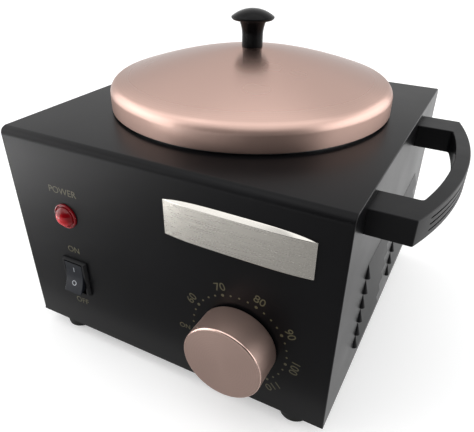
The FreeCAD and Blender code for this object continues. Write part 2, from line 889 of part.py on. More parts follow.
def make_insulation():
    """A blanket round the heater band, open at the ears and held back from the panels."""
    inside = band_outside + size.seat_clearance
    outside = inside + size.insulation_wall
    low = band_low - size.insulation_margin
    height = size.band_height + 2 * size.insulation_margin
    ring = cut(rod(outside, (0, size.well_offset, low), height),
               rod(inside, (0, size.well_offset, low), height))
    opening = box((-2 * outside, size.well_offset - size.insulation_gap / 2, low),
                  (0, size.well_offset + size.insulation_gap / 2, low + height))
    across = side_inside - size.seat_clearance
    room = box((-across, front_inside + size.seat_clearance, low),
               (across, back_inside - size.seat_clearance, low + height))
    keep("insulation_wrap", common(cut(ring, opening), room))


def clip(across, along, radius):
    """A saddle that holds a round sensor up against the well's floor."""
    half = size.clip_width / 2
    level = well_underside - radius - size.seat_clearance
    saddle = box((across - half, along - half, level - radius - size.clip_wall),
                 (across + half, along + half, well_underside))
    groove = rod(radius + size.seat_clearance, (across, along - size.clip_width, level),
                 2 * size.clip_width, "back")
    mouth = box((across - radius - size.seat_clearance, along - size.clip_width, level),
                (across + radius + size.seat_clearance, along + size.clip_width, well_underside))
    return cut(saddle, groove, mouth)


bulb_across = well_radius - size.bulb_inset
bulb_level = well_underside - size.bulb_radius - size.seat_clearance
bulb_front = size.well_offset - size.bulb_start
fuse_across = well_radius - size.fuse_inset
fuse_level = well_underside - size.fuse_radius - size.seat_clearance
fuse_front = size.well_offset - size.fuse_start


def make_sensors():
    keep("sensor_bulb", rod(size.bulb_radius, (bulb_across, bulb_front, bulb_level),
                            size.bulb_length, "back"))
    keep("sensor_clip", clip(bulb_across, bulb_front + size.bulb_length / 2, size.bulb_radius))
    keep("thermal_fuse", rod(size.fuse_radius, (fuse_across, fuse_front, fuse_level),
                             size.fuse_length, "back"))
    keep("fuse_clip", clip(fuse_across, fuse_front + size.fuse_length / 2, size.fuse_radius))


# Pot and lid

def make_pot():
    corner = size.pot_corner
    inside = size.pot_radius - size.pot_wall
    height = pot_lip_top - well_floor
    inner_corner = corner - size.pot_wall
    outline = [
        (0, 0),
        (size.pot_radius - corner, 0),
        (size.pot_radius, corner, corner),
        (size.pot_radius, height - size.pot_lip_wall),
        (pot_lip_radius, height - size.pot_lip_wall),
        (pot_lip_radius, height),
        (inside, height),
        (inside, corner),
        (inside - inner_corner, size.pot_wall, -inner_corner),
        (0, size.pot_wall),
    ]
    keep("wax_pot", turned(outline, (0, size.well_offset, well_floor)))


def domed_drum(radius, arc_radius, shoulder, low):
    """An upright drum with a domed top and a rounded shoulder."""
    drum = turned([
        (0, 0),
        (radius, 0),
        (radius, dome_level(arc_radius, radius) - low),
        (0, dome_level(arc_radius, 0) - low, arc_radius),
    ], (0, size.well_offset, low))
    return round_edges(drum, shoulder,
                       lambda edge: near(edge.ZMin, edge.ZMax) and edge.ZMin > low.value + shoulder.value)


def make_lid():
    """A spun shell: skirt, rounded shoulder and dome, of one wall all over."""
    rim = top + size.lid_lift
    outer = domed_drum(lid_radius, size.lid_dome_radius, size.lid_shoulder, rim)
    inner = domed_drum(lid_radius - size.lid_wall, dome_inside, size.lid_shoulder - size.lid_wall,
                       rim - size.lid_wall)
    hole = rod(size.lid_hole_radius, (0, size.well_offset, top), 2 * size.lid_apex)
    keep("lid_shell", cut(outer, inner, hole))


def make_lid_knob():
    foot = size.lid_knob_foot_radius
    neck = size.lid_knob_neck_height
    flare_out = size.lid_knob_flare_radius - foot
    flare_up = size.lid_knob_flare_height - neck
    flare = (flare_out * flare_out + flare_up * flare_up) / (2 * flare_out)
    cap = size.lid_knob_cap_radius
    crown = size.lid_knob_height - size.lid_knob_rim_height
    crown_radius = (cap * cap + crown * crown) / (2 * crown)
    bore = size.lid_screw_radius + size.running_clearance
    bore_depth = size.lid_screw_grip + size.moving_clearance
    apex = top + size.lid_apex
    outline = [
        (bore, dome_level(size.lid_dome_radius, bore) - apex),
        (foot, dome_level(size.lid_dome_radius, foot) - apex, -size.lid_dome_radius),
        (foot, neck),
        (size.lid_knob_flare_radius, size.lid_knob_flare_height, -flare),
        (cap - size.lid_wall, size.lid_knob_under_height),
        (cap, size.lid_knob_rim_height),
        (0, size.lid_knob_height, crown_radius),
        (0, bore_depth),
        (bore, bore_depth),
    ]
    keep("lid_knob", turned(outline, (0, size.well_offset, apex)))
    washer = size.lid_washer_radius
    washer_top = dome_level(dome_inside, washer)
    washer_low = washer_top - size.lid_washer_wall
    keep("lid_knob_washer", cut(rod(washer, (0, size.well_offset, washer_low), size.lid_washer_wall),
                                rod(size.lid_hole_radius, (0, size.well_offset, washer_low),
                                    size.lid_washer_wall)))
    keep("lid_knob_screw", screw((0, size.well_offset, washer_low), "up", size.lid_screw_radius,
                                 apex + size.lid_screw_grip - washer_low,
                                 size.lid_screw_head_radius, size.lid_screw_head_height))


# Handle

def make_handle():
    """Two legs and a bow. The body's own origin is the centre of the bow's outer arc."""
    half = size.handle_length / 2
    inner_half = half - size.handle_leg_width
    bow_radius = (half * half + size.handle_bow * size.handle_bow) / (2 * size.handle_bow)
    outer_reach = size.handle_reach + size.handle_bow
    inner_bow = outer_reach - size.handle_grip - size.handle_inner_reach
    inner_radius = (inner_half * inner_half + inner_bow * inner_bow) / (2 * inner_bow)
    panel = bow_radius - outer_reach
    outline = [
        (panel, -half),
        (panel + size.handle_reach, -half),
        (panel + size.handle_reach, half, bow_radius),
        (panel, half),
        (panel, inner_half),
        (panel + size.handle_inner_reach, inner_half),
        (panel + size.handle_inner_reach, -inner_half, -inner_radius),
        (panel, -inner_half),
    ]
    body = padded(outline, "XY_Plane", size.handle_height,
                  (half_width - panel, size.handle_centre, handle_middle))
    for number in range(GROOVES):
        level = (number - (GROOVES - 1) / 2) * size.handle_groove_step
        low = level - size.handle_groove_width / 2
        high = level + size.handle_groove_width / 2
        deep = bow_radius - size.handle_groove_depth
        far = bow_radius + size.handle_groove_depth
        reach = (half - size.handle_groove_stop) / bow_radius
        groove = body.newObject("PartDesign::Groove", "Groove")
        sketch = new_sketch(body, "XZ_Plane", [(deep, low), (far, low), (far, high), (deep, high)])
        groove.Profile = sketch
        groove.ReferenceAxis = (sketch, ["V_Axis"])
        groove.Midplane = True
        groove.setExpression("Angle", f"2 * asin({reach.text})")
        body.Tip = groove
    screw_hole = size.handle_screw_radius + size.seat_clearance
    holes = [rod(screw_hole, (side_inside, along, handle_middle),
                 size.sheet_wall + size.handle_screw_grip + size.moving_clearance, "right")
             for along in handle_screw_spots()]
    keep("carry_handle", cut(body, *holes))
    keep("handle_screws", group(*(
        screw((side_inside, along, handle_middle), "right", size.handle_screw_radius,
              size.sheet_wall + size.handle_screw_grip, size.handle_screw_head_radius,
              size.handle_screw_head_height)
        for along in handle_screw_spots())))


# Controls on the front panel

lamp_back = front_inside + size.lamp_barrel_length
switch_back = front_inside + size.switch_body_depth
thermostat_back = front_inside + size.thermostat_depth
pivot_along = front - size.pivot_inset


def make_lamp():
    dome = size.lamp_dome_radius
    crown = size.lamp_dome_height - size.lamp_flange_wall
    crown_radius = (dome * dome + crown * crown) / (2 * crown)
    outline = [
        (0, 0),
        (size.lamp_flange_radius, 0),
        (size.lamp_flange_radius, size.lamp_flange_wall / 2),
        (dome, size.lamp_flange_wall),
        (0, size.lamp_dome_height, crown_radius),
    ]
    keep("lamp_lens", turned(outline, (column, front, lamp_level), "front"))
    keep("lamp_body", rod(size.lamp_barrel_radius, (column, lamp_back, lamp_level),
                          size.lamp_barrel_length + size.sheet_wall, "front"))
    keep("lamp_nut", nut((column, front_inside, lamp_level), "back", size.lamp_nut_radius,
                         size.lamp_nut_height, size.lamp_barrel_radius + size.seat_clearance))
    keep("lamp_pins", group(*(
        tab((column, lamp_back, lamp_level + step * size.lamp_pin_spread / 2), "back",
            size.lamp_pin_width, size.lamp_pin_length) for step in (-1, 1))))


def tab(root, way, width, length):
    """A flat blade that stands on its root along the way, wide across X."""
    far = shift(root, way, length)
    half_wall = size.tab_wall / 2
    low = []
    high = []
    for axis in range(3):
        start, end = sorted((as_size(root[axis]), as_size(far[axis])), key=lambda spot: spot.value)
        if WAYS[way][0][axis] == 0:
            spread = width / 2 if axis == 0 else half_wall
            start = start - spread
            end = end + spread
        low.append(start)
        high.append(end)
    return box(low, high)


def bevelled_plate(across, level, width, height, wall, slope, slope_depth):
    """The two solids of a plate on the front panel whose edges slope back all round."""
    half = width / 2
    tall = height / 2
    step = front - (wall - slope_depth)
    flat = box((across - half, step, level - tall), (across + half, front, level + tall))
    crown = doc.addObject("Part::Wedge", "Crown")
    for corner, value in (("Xmin", -half), ("Xmax", half), ("X2min", slope - half), ("X2max", half - slope),
                          ("Zmin", -tall), ("Zmax", tall), ("Z2min", slope - tall), ("Z2max", tall - slope),
                          ("Ymin", 0), ("Ymax", slope_depth)):
        bind(crown, corner, value)
    crown.Placement = FreeCAD.Placement(FreeCAD.Vector(), FreeCAD.Rotation(X_AXIS, 180))
    for axis, value in zip("xyz", (across, step, level)):
        bind(crown, f"Placement.Base.{axis}", value)
    return [flat, crown]


def make_switch():
    """A framed body with a pocket. The rocker hangs in it on two stub pivots."""
    def centred(width, height, near_y, far_y):
        return box((column - width / 2, near_y, switch_level - height / 2),
                   (column + width / 2, far_y, switch_level + height / 2))

    gap = size.moving_clearance
    half_height = size.rocker_height / 2
    swing = (half_height * half_height + size.rocker_end_height * size.rocker_end_height).root()
    pocket_width = size.rocker_width + 2 * gap
    bezel = bevelled_plate(column, switch_level, size.bezel_width, size.bezel_height, size.bezel_wall,
                           size.bezel_slope, size.bezel_slope_depth)
    body = centred(size.switch_body_width, size.switch_body_height, front, switch_back)
    pocket = centred(pocket_width, 2 * (swing + gap), front - size.bezel_wall,
                     front + size.switch_pocket_depth)
    pivot_reach = pocket_width + 2 * size.pivot_length
    pivot_bore = rod(size.pivot_radius + size.running_clearance,
                     (column - pivot_reach / 2, pivot_along, switch_level), pivot_reach, "right")
    keep("switch_body", cut(fuse(*bezel, body), pocket, pivot_bore))
    keep("switch_terminals", group(*(
        tab((column, switch_back, switch_level + step * size.switch_tab_spread / 2), "back",
            size.tab_width, size.tab_length) for step in (-1, 1))))
    root = size.rocker_root_height
    outline = [
        (-size.rocker_end_height, -half_height),
        (root, -size.rocker_root_depth),
        (root, size.rocker_root_depth),
        (-size.rocker_end_height, half_height),
        (-size.rocker_middle_height, 0),
    ]
    paddle = padded(outline, "YZ_Plane", size.rocker_width, (0, 0, 0))
    stub_reach = size.rocker_width + 2 * (size.pivot_length - gap)
    stubs = rod(size.pivot_radius, (-stub_reach / 2, 0, 0), stub_reach, "right")
    rocker = fuse(paddle, stubs)
    place(rocker, (column, pivot_along, switch_level))
    bind(rocker, "Placement.Rotation.Angle", -size.rocker_tilt)
    rocker.Placement.Rotation.Axis = X_AXIS
    keep("switch_rocker", rocker)


def make_thermostat():
    half_width_here = size.thermostat_width / 2
    half_height = size.thermostat_height / 2
    case = box((dial_across - half_width_here, front_inside, dial_level - half_height),
               (dial_across + half_width_here, thermostat_back, dial_level + half_height))
    bush_length = size.sheet_wall + size.bush_reach
    bush = rod(size.bush_radius, (dial_across, front_inside, dial_level), bush_length, "front")
    shaft_inner = front_inside + size.shaft_sunk
    bore = rod(size.shaft_radius + size.running_clearance,
               (dial_across, shaft_inner + size.moving_clearance, dial_level),
               size.shaft_sunk + bush_length + size.moving_clearance, "front")
    keep("thermostat_body", cut(fuse(case, bush), bore))
    keep("thermostat_nut", nut((dial_across, front, dial_level), "front", size.bush_nut_radius,
                               size.bush_nut_height, size.bush_radius + size.seat_clearance))
    keep("thermostat_terminals", group(*(
        tab((dial_across + step * size.thermostat_tab_spread / 2, terminal_along,
             dial_level - half_height), "down", size.tab_width, size.tab_length) for step in (-1, 1))))
    knob_back = front - size.dial_gap
    knob_bore_end = size.dial_bore_depth
    keep("thermostat_shaft", rod(size.shaft_radius, (dial_across, shaft_inner, dial_level),
                                 shaft_inner - knob_back + knob_bore_end - size.seat_clearance, "front"))
    bore_radius = size.shaft_radius + size.seat_clearance
    edge = size.dial_edge
    rim_inside = size.dial_radius - edge - size.dial_rim_width
    face = size.dial_depth - size.dial_face_recess
    outline = [
        (size.dial_recess_radius, 0),
        (size.dial_radius, 0),
        (size.dial_radius, size.dial_depth - edge),
        (size.dial_radius - edge, size.dial_depth),
        (rim_inside, size.dial_depth),
        (rim_inside - size.dial_rim_step, face),
        (0, face),
        (0, knob_bore_end),
        (bore_radius, knob_bore_end),
        (bore_radius, size.dial_recess_depth),
        (size.dial_recess_radius, size.dial_recess_depth),
    ]
    knob = turned(outline, (dial_across, knob_back, dial_level), "front")
    grub_along = knob_back - (size.dial_recess_depth + knob_bore_end) / 2
    grub_length = size.dial_radius - size.shaft_radius
    grub_hole = rod(size.grub_radius + size.seat_clearance,
                    (dial_across, grub_along, dial_level - bore_radius), grub_length, "down")
    keep("temperature_knob", cut(knob, grub_hole))
    keep("knob_grub_screw", rod(size.grub_radius,
                                (dial_across, grub_along, dial_level - size.shaft_radius
                                 - size.seat_clearance), grub_length / 2, "down"))


terminal_along = front_inside + size.thermostat_depth / 2


def make_nameplate():
    """A bright bevelled plate, left bare, held by two studs and push clips."""
    plate = bevelled_plate(plate_across, plate_level, size.plate_width, size.plate_height, size.plate_wall,
                           size.plate_bevel, size.plate_bevel)
    studs = [rod(size.plate_stud_radius, (across, front, plate_level), size.plate_stud_length, "back")
             for across in plate_stud_spots()]
    keep("nameplate", fuse(*plate, *studs))
    keep("nameplate_clips", group(*(
        cut(rod(size.plate_clip_radius, (across, front_inside, plate_level), size.plate_clip_wall, "back"),
            rod(size.plate_stud_radius + size.seat_clearance, (across, front_inside, plate_level),
                size.plate_clip_wall, "back"))
        for across in plate_stud_spots())))


# Terminal block, earth stud and cord gland

block_back = half_depth - size.block_setback
block_front = block_back - size.block_depth
pole_level = floor + size.pole_height


def pole_across(number):
    return block_across + (number - (POLES - 1) / 2) * size.pole_pitch


def block_screw_spots():
    for step in (-1, 1):
        yield block_across + step * size.pole_pitch, block_front + size.block_depth / 2


earth_across = pole_across(POLES - 1)
earth_along = block_front - size.earth_stud_distance


def make_terminal_block():
    half = POLES * size.pole_pitch / 2
    block = box((block_across - half, block_front, floor),
                (block_across + half, block_back, floor + size.block_height))
    entry = size.wire_radius + size.moving_clearance
    holes = []
    for number in range(POLES):
        holes.append(rod(entry, (pole_across(number), block_front, pole_level),
                         size.pole_bore_depth, "back"))
        holes.append(rod(entry, (pole_across(number), block_back, pole_level), size.pole_bore_depth, "front"))
    for across, along in block_screw_spots():
        holes.append(rod(size.block_screw_radius + size.hole_clearance, (across, along, floor),
                         size.block_height))
    keep("terminal_block", cut(block, *holes))
    keep("terminal_block_screws", group(*(
        screw((across, along, floor + size.block_height), "down", size.block_screw_radius,
              size.block_height + size.sheet_wall, size.block_screw_head_radius,
              size.block_screw_head_height)
        for across, along in block_screw_spots())))


def make_earth_point():
    keep("earth_stud", rod(size.earth_stud_radius, (earth_across, earth_along, bottom),
                           size.sheet_wall + size.earth_stud_height))
    lug_hole = size.earth_stud_radius + size.seat_clearance
    keep("earth_lug", cut(rod(size.earth_lug_radius, (earth_across, earth_along, floor), size.earth_lug_wall),
                          rod(lug_hole, (earth_across, earth_along, floor), size.earth_lug_wall)))
    keep("earth_nut", nut((earth_across, earth_along, floor + size.earth_lug_wall), "up",
                          size.earth_nut_radius, size.earth_nut_height, lug_hole))


def make_gland():
    """The cord's inlet: a headed bush through the back panel with a nut inside."""
    bore = size.gland_bore_radius
    length = size.gland_thread_length + size.sheet_wall
    edge = size.gland_head_length / 4
    outline = [
        (bore, -length),
        (size.gland_thread_radius, -length),
        (size.gland_thread_radius, 0),
        (size.gland_head_radius, 0),
        (size.gland_head_radius, size.gland_head_length - edge),
        (size.gland_head_radius - edge, size.gland_head_length),
        (bore, size.gland_head_length),
    ]
    keep("cord_gland", turned(outline, (block_across, half_depth, gland_level), "back"))
    keep("gland_nut", nut((block_across, back_inside, gland_level), "front", size.gland_head_radius,
                          size.gland_nut_height, size.gland_thread_radius + size.seat_clearance))


# Internal wires, each from one terminal's end face to the other

def make_wires():
    tab_end = switch_back + size.tab_length
    turn_back = tab_end + size.wire_bend + size.wire_radius
    lamp_end = lamp_back + size.lamp_pin_length
    level = floor + size.wire_level
    upper = switch_level + size.switch_tab_spread / 2
    lower = switch_level - size.switch_tab_spread / 2
    in_block = block_front + size.pole_bore_depth - size.moving_clearance
    lamp_turn = lamp_end + size.wire_bend + size.wire_radius
    low_pin = lamp_level - size.lamp_pin_spread / 2
    high_pin = lamp_level + size.lamp_pin_spread / 2
    thermostat_low = dial_level - size.thermostat_height / 2 - size.tab_length
    first_tab = dial_across - size.thermostat_tab_spread / 2
    second_tab = dial_across + size.thermostat_tab_spread / 2
    capillary_exit = dial_across - size.capillary_offset
    crossing = bulb_level - size.bulb_radius - size.clip_wall - 2 * size.wire_radius
    heater_low = ear_middle - size.ear_height / 2 + size.heater_tab_grip - size.heater_tab_length
    heater_across = -(ear_tip - size.heater_tab_width / 2)
    heater_tab = ear_face + size.tab_wall / 2
    fuse_back = fuse_front + size.fuse_length
    beside = size.tab_width / 2 - size.wire_radius
    bend = size.wire_bend
    radius = size.wire_radius

    wire("live_wire", radius, bend,
         (pole_across(2), in_block, pole_level),
         (pole_across(2), turn_back, pole_level),
         (column, turn_back, lower),
         (column, tab_end, lower))
    wire("lamp_feed_wire", radius, bend,
         (column - beside, tab_end, upper),
         (column - beside, lamp_turn, upper),
         (column, lamp_turn, low_pin),
         (column, lamp_end, low_pin))
    wire("switched_wire", radius, bend,
         (column + beside, tab_end, upper),
         (column + beside, turn_back, upper),
         (column + 2 * bend, turn_back, level),
         (first_tab, terminal_along, level),
         (first_tab, terminal_along, thermostat_low))
    wire("heater_feed_wire", radius, bend,
         (second_tab, terminal_along, thermostat_low),
         (second_tab, terminal_along, level),
         (fuse_across, fuse_front - 3 * bend, level),
         (fuse_across, fuse_front - bend, fuse_level),
         (fuse_across, fuse_front, fuse_level))
    wire("fuse_wire", radius, bend,
         (fuse_across, fuse_back, fuse_level),
         (fuse_across, fuse_back + bend, fuse_level),
         (fuse_across, size.well_offset + heater_tab, crossing),
         (heater_across, size.well_offset + heater_tab, crossing),
         (heater_across, size.well_offset + heater_tab, heater_low))
    wire("neutral_wire", radius, bend,
         (pole_across(1), in_block, pole_level),
         (pole_across(1), size.well_offset + 2 * bend, pole_level),
         (heater_across, size.well_offset - heater_tab, level + 2 * bend),
         (heater_across, size.well_offset - heater_tab, heater_low))
    wire("lamp_return_wire", radius, bend,
         (column, lamp_end, high_pin),
         (column, lamp_turn, high_pin),
         (pole_across(0), lamp_turn, high_pin),
         (pole_across(0), lamp_turn, pole_level),
         (pole_across(0), in_block, pole_level))
    lug_edge = earth_along + size.earth_lug_radius
    lug_level = floor + size.wire_radius
    wire("earth_wire", radius, bend,
         (earth_across, in_block, pole_level),
         (earth_across, block_front - size.earth_stud_distance / 4, pole_level),
         (earth_across, lug_edge + size.earth_stud_distance / 4, lug_level),
         (earth_across, lug_edge, lug_level))
    wire("capillary_tube", size.capillary_radius, size.capillary_bend,
         (capillary_exit, terminal_along, dial_level - size.thermostat_height / 2),
         (capillary_exit, terminal_along, bulb_level),
         (bulb_across, bulb_front - 2 * size.capillary_bend, bulb_level),
         (bulb_across, bulb_front, bulb_level))


make_housing_shell()
for side, name in SIDES:
    make_side_panel(side, name)
make_base_plate()
make_base_screws()
make_feet()
make_heating_well()
make_heater()
make_insulation()
make_sensors()
make_pot()
make_lid()
make_lid_knob()
make_handle()
make_lamp()
make_switch()
make_thermostat()
make_nameplate()
make_terminal_block()
make_earth_point()
make_gland()
make_wires()
doc.recompute()

for thing in doc.Objects:
    if "Invalid" in thing.State or "Error" in thing.State:
        raise RuntimeError(f"{thing.Name} ({thing.Label}) failed: {thing.State}")
for name, solid in pieces.items():
    if solid.Shape.isNull() or not solid.Shape.isValid() or not solid.Shape.Solids:
        raise RuntimeError(f"{name} has no valid solid")

os.makedirs("parts", exist_ok=True)
for name, solid in pieces.items():
    solid.Shape.exportStep(f"parts/{name}.step")
print(f"{len(pieces)} sub-parts written")
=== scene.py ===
# %% [markdown]
# # A tabletop wax warmer
# The real object is a black sheet-steel box with a heated well in its top. A loose aluminium pot stands in
# the well under a domed rose-gold lid. The front carries a pilot lamp, a rocker switch, a bright plate and
# a thermostat dial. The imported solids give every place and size, so the first step is to load them. Each
# later step then either gives a solid its finish or puts a finer piece in its place.

import json
import math

import bmesh
import bpy
from mathutils import Matrix, Vector


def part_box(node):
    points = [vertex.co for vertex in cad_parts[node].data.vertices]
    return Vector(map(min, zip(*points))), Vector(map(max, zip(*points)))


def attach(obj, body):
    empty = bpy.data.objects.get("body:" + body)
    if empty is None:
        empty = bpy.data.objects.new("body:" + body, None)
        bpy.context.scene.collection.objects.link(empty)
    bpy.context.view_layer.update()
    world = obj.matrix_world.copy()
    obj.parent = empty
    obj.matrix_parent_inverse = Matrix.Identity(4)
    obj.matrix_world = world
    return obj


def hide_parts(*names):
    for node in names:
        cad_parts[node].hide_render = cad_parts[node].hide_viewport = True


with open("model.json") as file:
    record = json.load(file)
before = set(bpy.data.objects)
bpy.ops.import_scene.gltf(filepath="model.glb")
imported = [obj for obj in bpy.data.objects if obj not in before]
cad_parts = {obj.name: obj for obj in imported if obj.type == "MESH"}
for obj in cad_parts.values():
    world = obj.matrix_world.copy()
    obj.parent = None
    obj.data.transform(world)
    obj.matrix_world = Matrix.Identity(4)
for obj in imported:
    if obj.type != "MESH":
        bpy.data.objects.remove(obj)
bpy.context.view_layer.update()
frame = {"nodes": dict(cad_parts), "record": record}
MM = 0.001

# %% [markdown]
# ## Tools for finishes
# A finish is a node tree. Colours are easier to pick as the hex values of a paint program, so one function
# turns those into the linear light that a shader counts in. A second one turns a real size into a texture's
# scale, and a third adds a node with all its settings and links, which keeps each finish short to read.
# Most skins follow one recipe, tone and gloss that drift together and a fine relief, so it is written once.

# %% Colour, scale and node helpers
def linear(code):
    """The linear colour of an sRGB hex value."""
    parts = [int(code[start:start + 2], 16) / 255 for start in (1, 3, 5)]
    return (*(part / 12.92 if part <= 0.04045 else ((part + 0.055) / 1.055) ** 2.4 for part in parts), 1.0)


def every(millimetres):
    """The texture scale whose pattern repeats about once in that many millimetres."""
    return 1 / (millimetres * MM)


def add(tree, kind, inputs=None, **settings):
    """Adds a node, sets its properties, and fills or links its inputs, which go by name or number."""
    node = tree.nodes.new(kind)
    for name, value in settings.items():
        setattr(node, name, value)
    for name, value in (inputs or {}).items():
        if isinstance(value, bpy.types.NodeSocket):
            tree.links.new(value, node.inputs[name])
        else:
            node.inputs[name].default_value = value
    return node


def empty_finish(name):
    """A new material and its node tree, which is still empty."""
    material = bpy.data.materials.new(name)
    material.use_nodes = True
    material.node_tree.nodes.clear()
    return material, material.node_tree


def start_finish(name, values):
    """A material with one shader. Returns it with its tree, its shader and the piece's own place."""
    material, tree = empty_finish(name)
    shader = add(tree, "ShaderNodeBsdfPrincipled", values)
    add(tree, "ShaderNodeOutputMaterial", {"Surface": shader.outputs["BSDF"]})
    place = add(tree, "ShaderNodeTexCoord").outputs["Object"]
    return material, tree, shader, place


def wire_up(tree, shader, colour, roughness, normal=None):
    """Links the patterns of a finish to its shader. A smooth one has no normal."""
    for name, socket in (("Base Color", colour), ("Roughness", roughness), ("Normal", normal)):
        if socket is not None:
            tree.links.new(socket, shader.inputs[name])


NOISE_LOW, NOISE_HIGH = 0.3, 0.7  # nearly all of a noise lies between these


def drifting_skin(tree, shader, drift, colours, gloss_range, relief, strength, depth):
    """Lets tone and gloss follow one pattern, and raises the surface by another, in millimetres."""
    tone = add(tree, "ShaderNodeMix", {0: drift, 6: linear(colours[0]), 7: linear(colours[1])},
               data_type="RGBA")
    gloss = add(tree, "ShaderNodeMapRange", {
        "Value": drift, "From Min": NOISE_LOW, "From Max": NOISE_HIGH,
        "To Min": gloss_range[0], "To Max": gloss_range[1]})
    bump = add(tree, "ShaderNodeBump", {"Height": relief, "Strength": strength, "Distance": depth * MM})
    wire_up(tree, shader, tone.outputs[2], gloss.outputs["Result"], bump.outputs["Normal"])


finishes = {}
print("colour check: mid grey is", [round(value, 3) for value in linear("#808080")[:3]])

# %% [markdown]
# ## Satin black enamel
# The housing is steel sheet sprayed with satin black enamel and baked. Baked enamel isn't quite flat: it
# dries to a faint orange peel about a millimetre wide, and its gloss drifts a little over a hand's width.
# That breaks up the reflections in a large black panel, so both are drawn, the peel as a bump and the drift
# as roughness and a slight change of tone.

# %% Enamel
PEEL, GLOSS_DRIFT = 1.3, 60.0


def enamel():
    """Baked enamel: near black, an IOR of 1.5 dulled by its matting powder, satin gloss with a soft peel."""
    material, tree, shader, place = start_finish("satin_black_baked_enamel", {
        "IOR": 1.5, "Specular IOR Level": 0.1})
    peel = add(tree, "ShaderNodeTexNoise", {"Vector": place, "Scale": every(PEEL), "Detail": 2.0})
    drift = add(tree, "ShaderNodeTexNoise", {"Vector": place, "Scale": every(GLOSS_DRIFT), "Detail": 3.0})
    drifting_skin(tree, shader, drift.outputs["Fac"], ("#0A0A0B", "#101012"), (0.29, 0.34),
                  peel.outputs["Fac"], 0.05, 0.2)
    return material


finishes["black_paint"] = enamel()
print("made", finishes["black_paint"].name)

# %% [markdown]
# ## Rose-gold metal
# Lid and dial are spun and turned aluminium, anodised rose gold. Anodising keeps the metal's shine but blurs
# it to a satin. The spinning tool leaves rings so fine that the eye doesn't see them, but they smear each
# reflection across themselves, so the lid shows light in fans and upright bands. Anisotropy does that: its
# tangent runs round the piece's axis, and a quarter turn lays the smear across the rings. The rings are
# also drawn, at 1.6 mm instead of the real 0.1 mm so that they show at all, and kept very weak. At a low
# angle light has a longer way through the dyed layer, so the tint there stays rose instead of going white.

# %% Rose-gold finish
RING_STEP, HAND_MARK = 1.6, 35.0
WAVE_LENGTH = math.tau / 20  # after this length a Wave texture of scale 1 repeats
DYED_EDGE = "#D2CDCB"


def middle(node):
    """The centre of a solid's box."""
    low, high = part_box(node)
    return (low + high) / 2


def rose_gold(name, colours, node, axis_turn, axis, smear, lacquer, sanding, edge=(0, 1)):
    """Anodised aluminium: a metal, so its colour is in its reflection and the IOR stays as it is."""
    material, tree, shader, place = start_finish(name, {
        "Metallic": 1.0, "Specular Tint": linear(DYED_EDGE), "Anisotropic": smear,
        "Anisotropic Rotation": 0.25, "Coat Weight": lacquer, "Coat Roughness": 0.08})
    outwards = add(tree, "ShaderNodeVectorMath", {0: place, 1: middle(node)}, operation="SUBTRACT")
    around = add(tree, "ShaderNodeVectorMath", {0: axis, 1: outwards.outputs[0]}, operation="CROSS_PRODUCT")
    turned = add(tree, "ShaderNodeVectorTransform", {0: around.outputs[0]}, vector_type="VECTOR",
                 convert_from="OBJECT", convert_to="WORLD")
    tree.links.new(turned.outputs[0], shader.inputs["Tangent"])
    own = add(tree, "ShaderNodeMapping", {"Vector": place, "Location": middle(node), "Rotation": axis_turn},
              vector_type="TEXTURE").outputs["Vector"]
    rings = add(tree, "ShaderNodeTexWave", {"Vector": own, "Scale": WAVE_LENGTH * every(RING_STEP),
                                           "Distortion": 1.5, "Detail": 2.0},
                wave_type="RINGS", rings_direction="Z")
    height = add(tree, "ShaderNodeSeparateXYZ", {0: own})
    sanded = add(tree, "ShaderNodeMapRange", {
        "Value": height.outputs["Z"], "From Min": edge[0] * MM, "From Max": edge[1] * MM,
        "To Min": sanding[0], "To Max": sanding[1]}, interpolation_type="SMOOTHSTEP")
    handled = add(tree, "ShaderNodeTexNoise", {"Vector": place, "Scale": every(HAND_MARK), "Detail": 2.0})
    gloss = add(tree, "ShaderNodeMath", {0: handled.outputs["Fac"], 1: 0.02, 2: sanded.outputs["Result"]},
                operation="MULTIPLY_ADD")
    tone = add(tree, "ShaderNodeMix", {0: rings.outputs["Fac"], 6: linear(colours[0]), 7: linear(colours[1])},
               data_type="RGBA")
    bump = add(tree, "ShaderNodeBump", {"Height": handled.outputs["Fac"], "Strength": 0.1,
                                       "Distance": 0.1 * MM})
    wire_up(tree, shader, tone.outputs[2], gloss.outputs[0], bump.outputs["Normal"])
    return material


print("rings", RING_STEP, "mm apart, hand marks", HAND_MARK, "mm wide")

# %% Lid and dial in rose gold
LID_TONES, DIAL_TONES = ("#C0A297", "#C3A59A"), ("#C5AAA0", "#C8ADA3")
lid_gold = rose_gold("rose_gold_spun_anodised_lid", LID_TONES, "lid_shell", (0, 0, 0), (0, 0, 1),
                     smear=0.7, lacquer=0.2, sanding=(0.4, 0.26), edge=(-3.0, 1.5))
dial_gold = rose_gold("rose_gold_turned_anodised_dial", DIAL_TONES, "temperature_knob", (math.pi / 2, 0, 0),
                      (0, 1, 0), smear=0.2, lacquer=0.0, sanding=(0.4, 0.4))
dial_edge = rose_gold("rose_gold_cut_anodised_edge", DIAL_TONES, "temperature_knob", (math.pi / 2, 0, 0),
                      (0, 1, 0), smear=0.2, lacquer=0.0, sanding=(0.18, 0.18))
finishes["rose_gold"] = lid_gold
print("made", lid_gold.name, dial_gold.name, dial_edge.name)

# %% [markdown]
# ## Plastics and rubber
# The handle and the lid's knob are moulded black phenolic. Their mould was spark-eroded, which leaves a fine
# pebbled skin half a millimetre across. The switch is smoother nylon, and the feet are soft rubber with a
# chalky bloom. They differ only in colour, gloss and grain, so one function makes all of them.

# %% Moulded finishes
CLOUD = 18.0


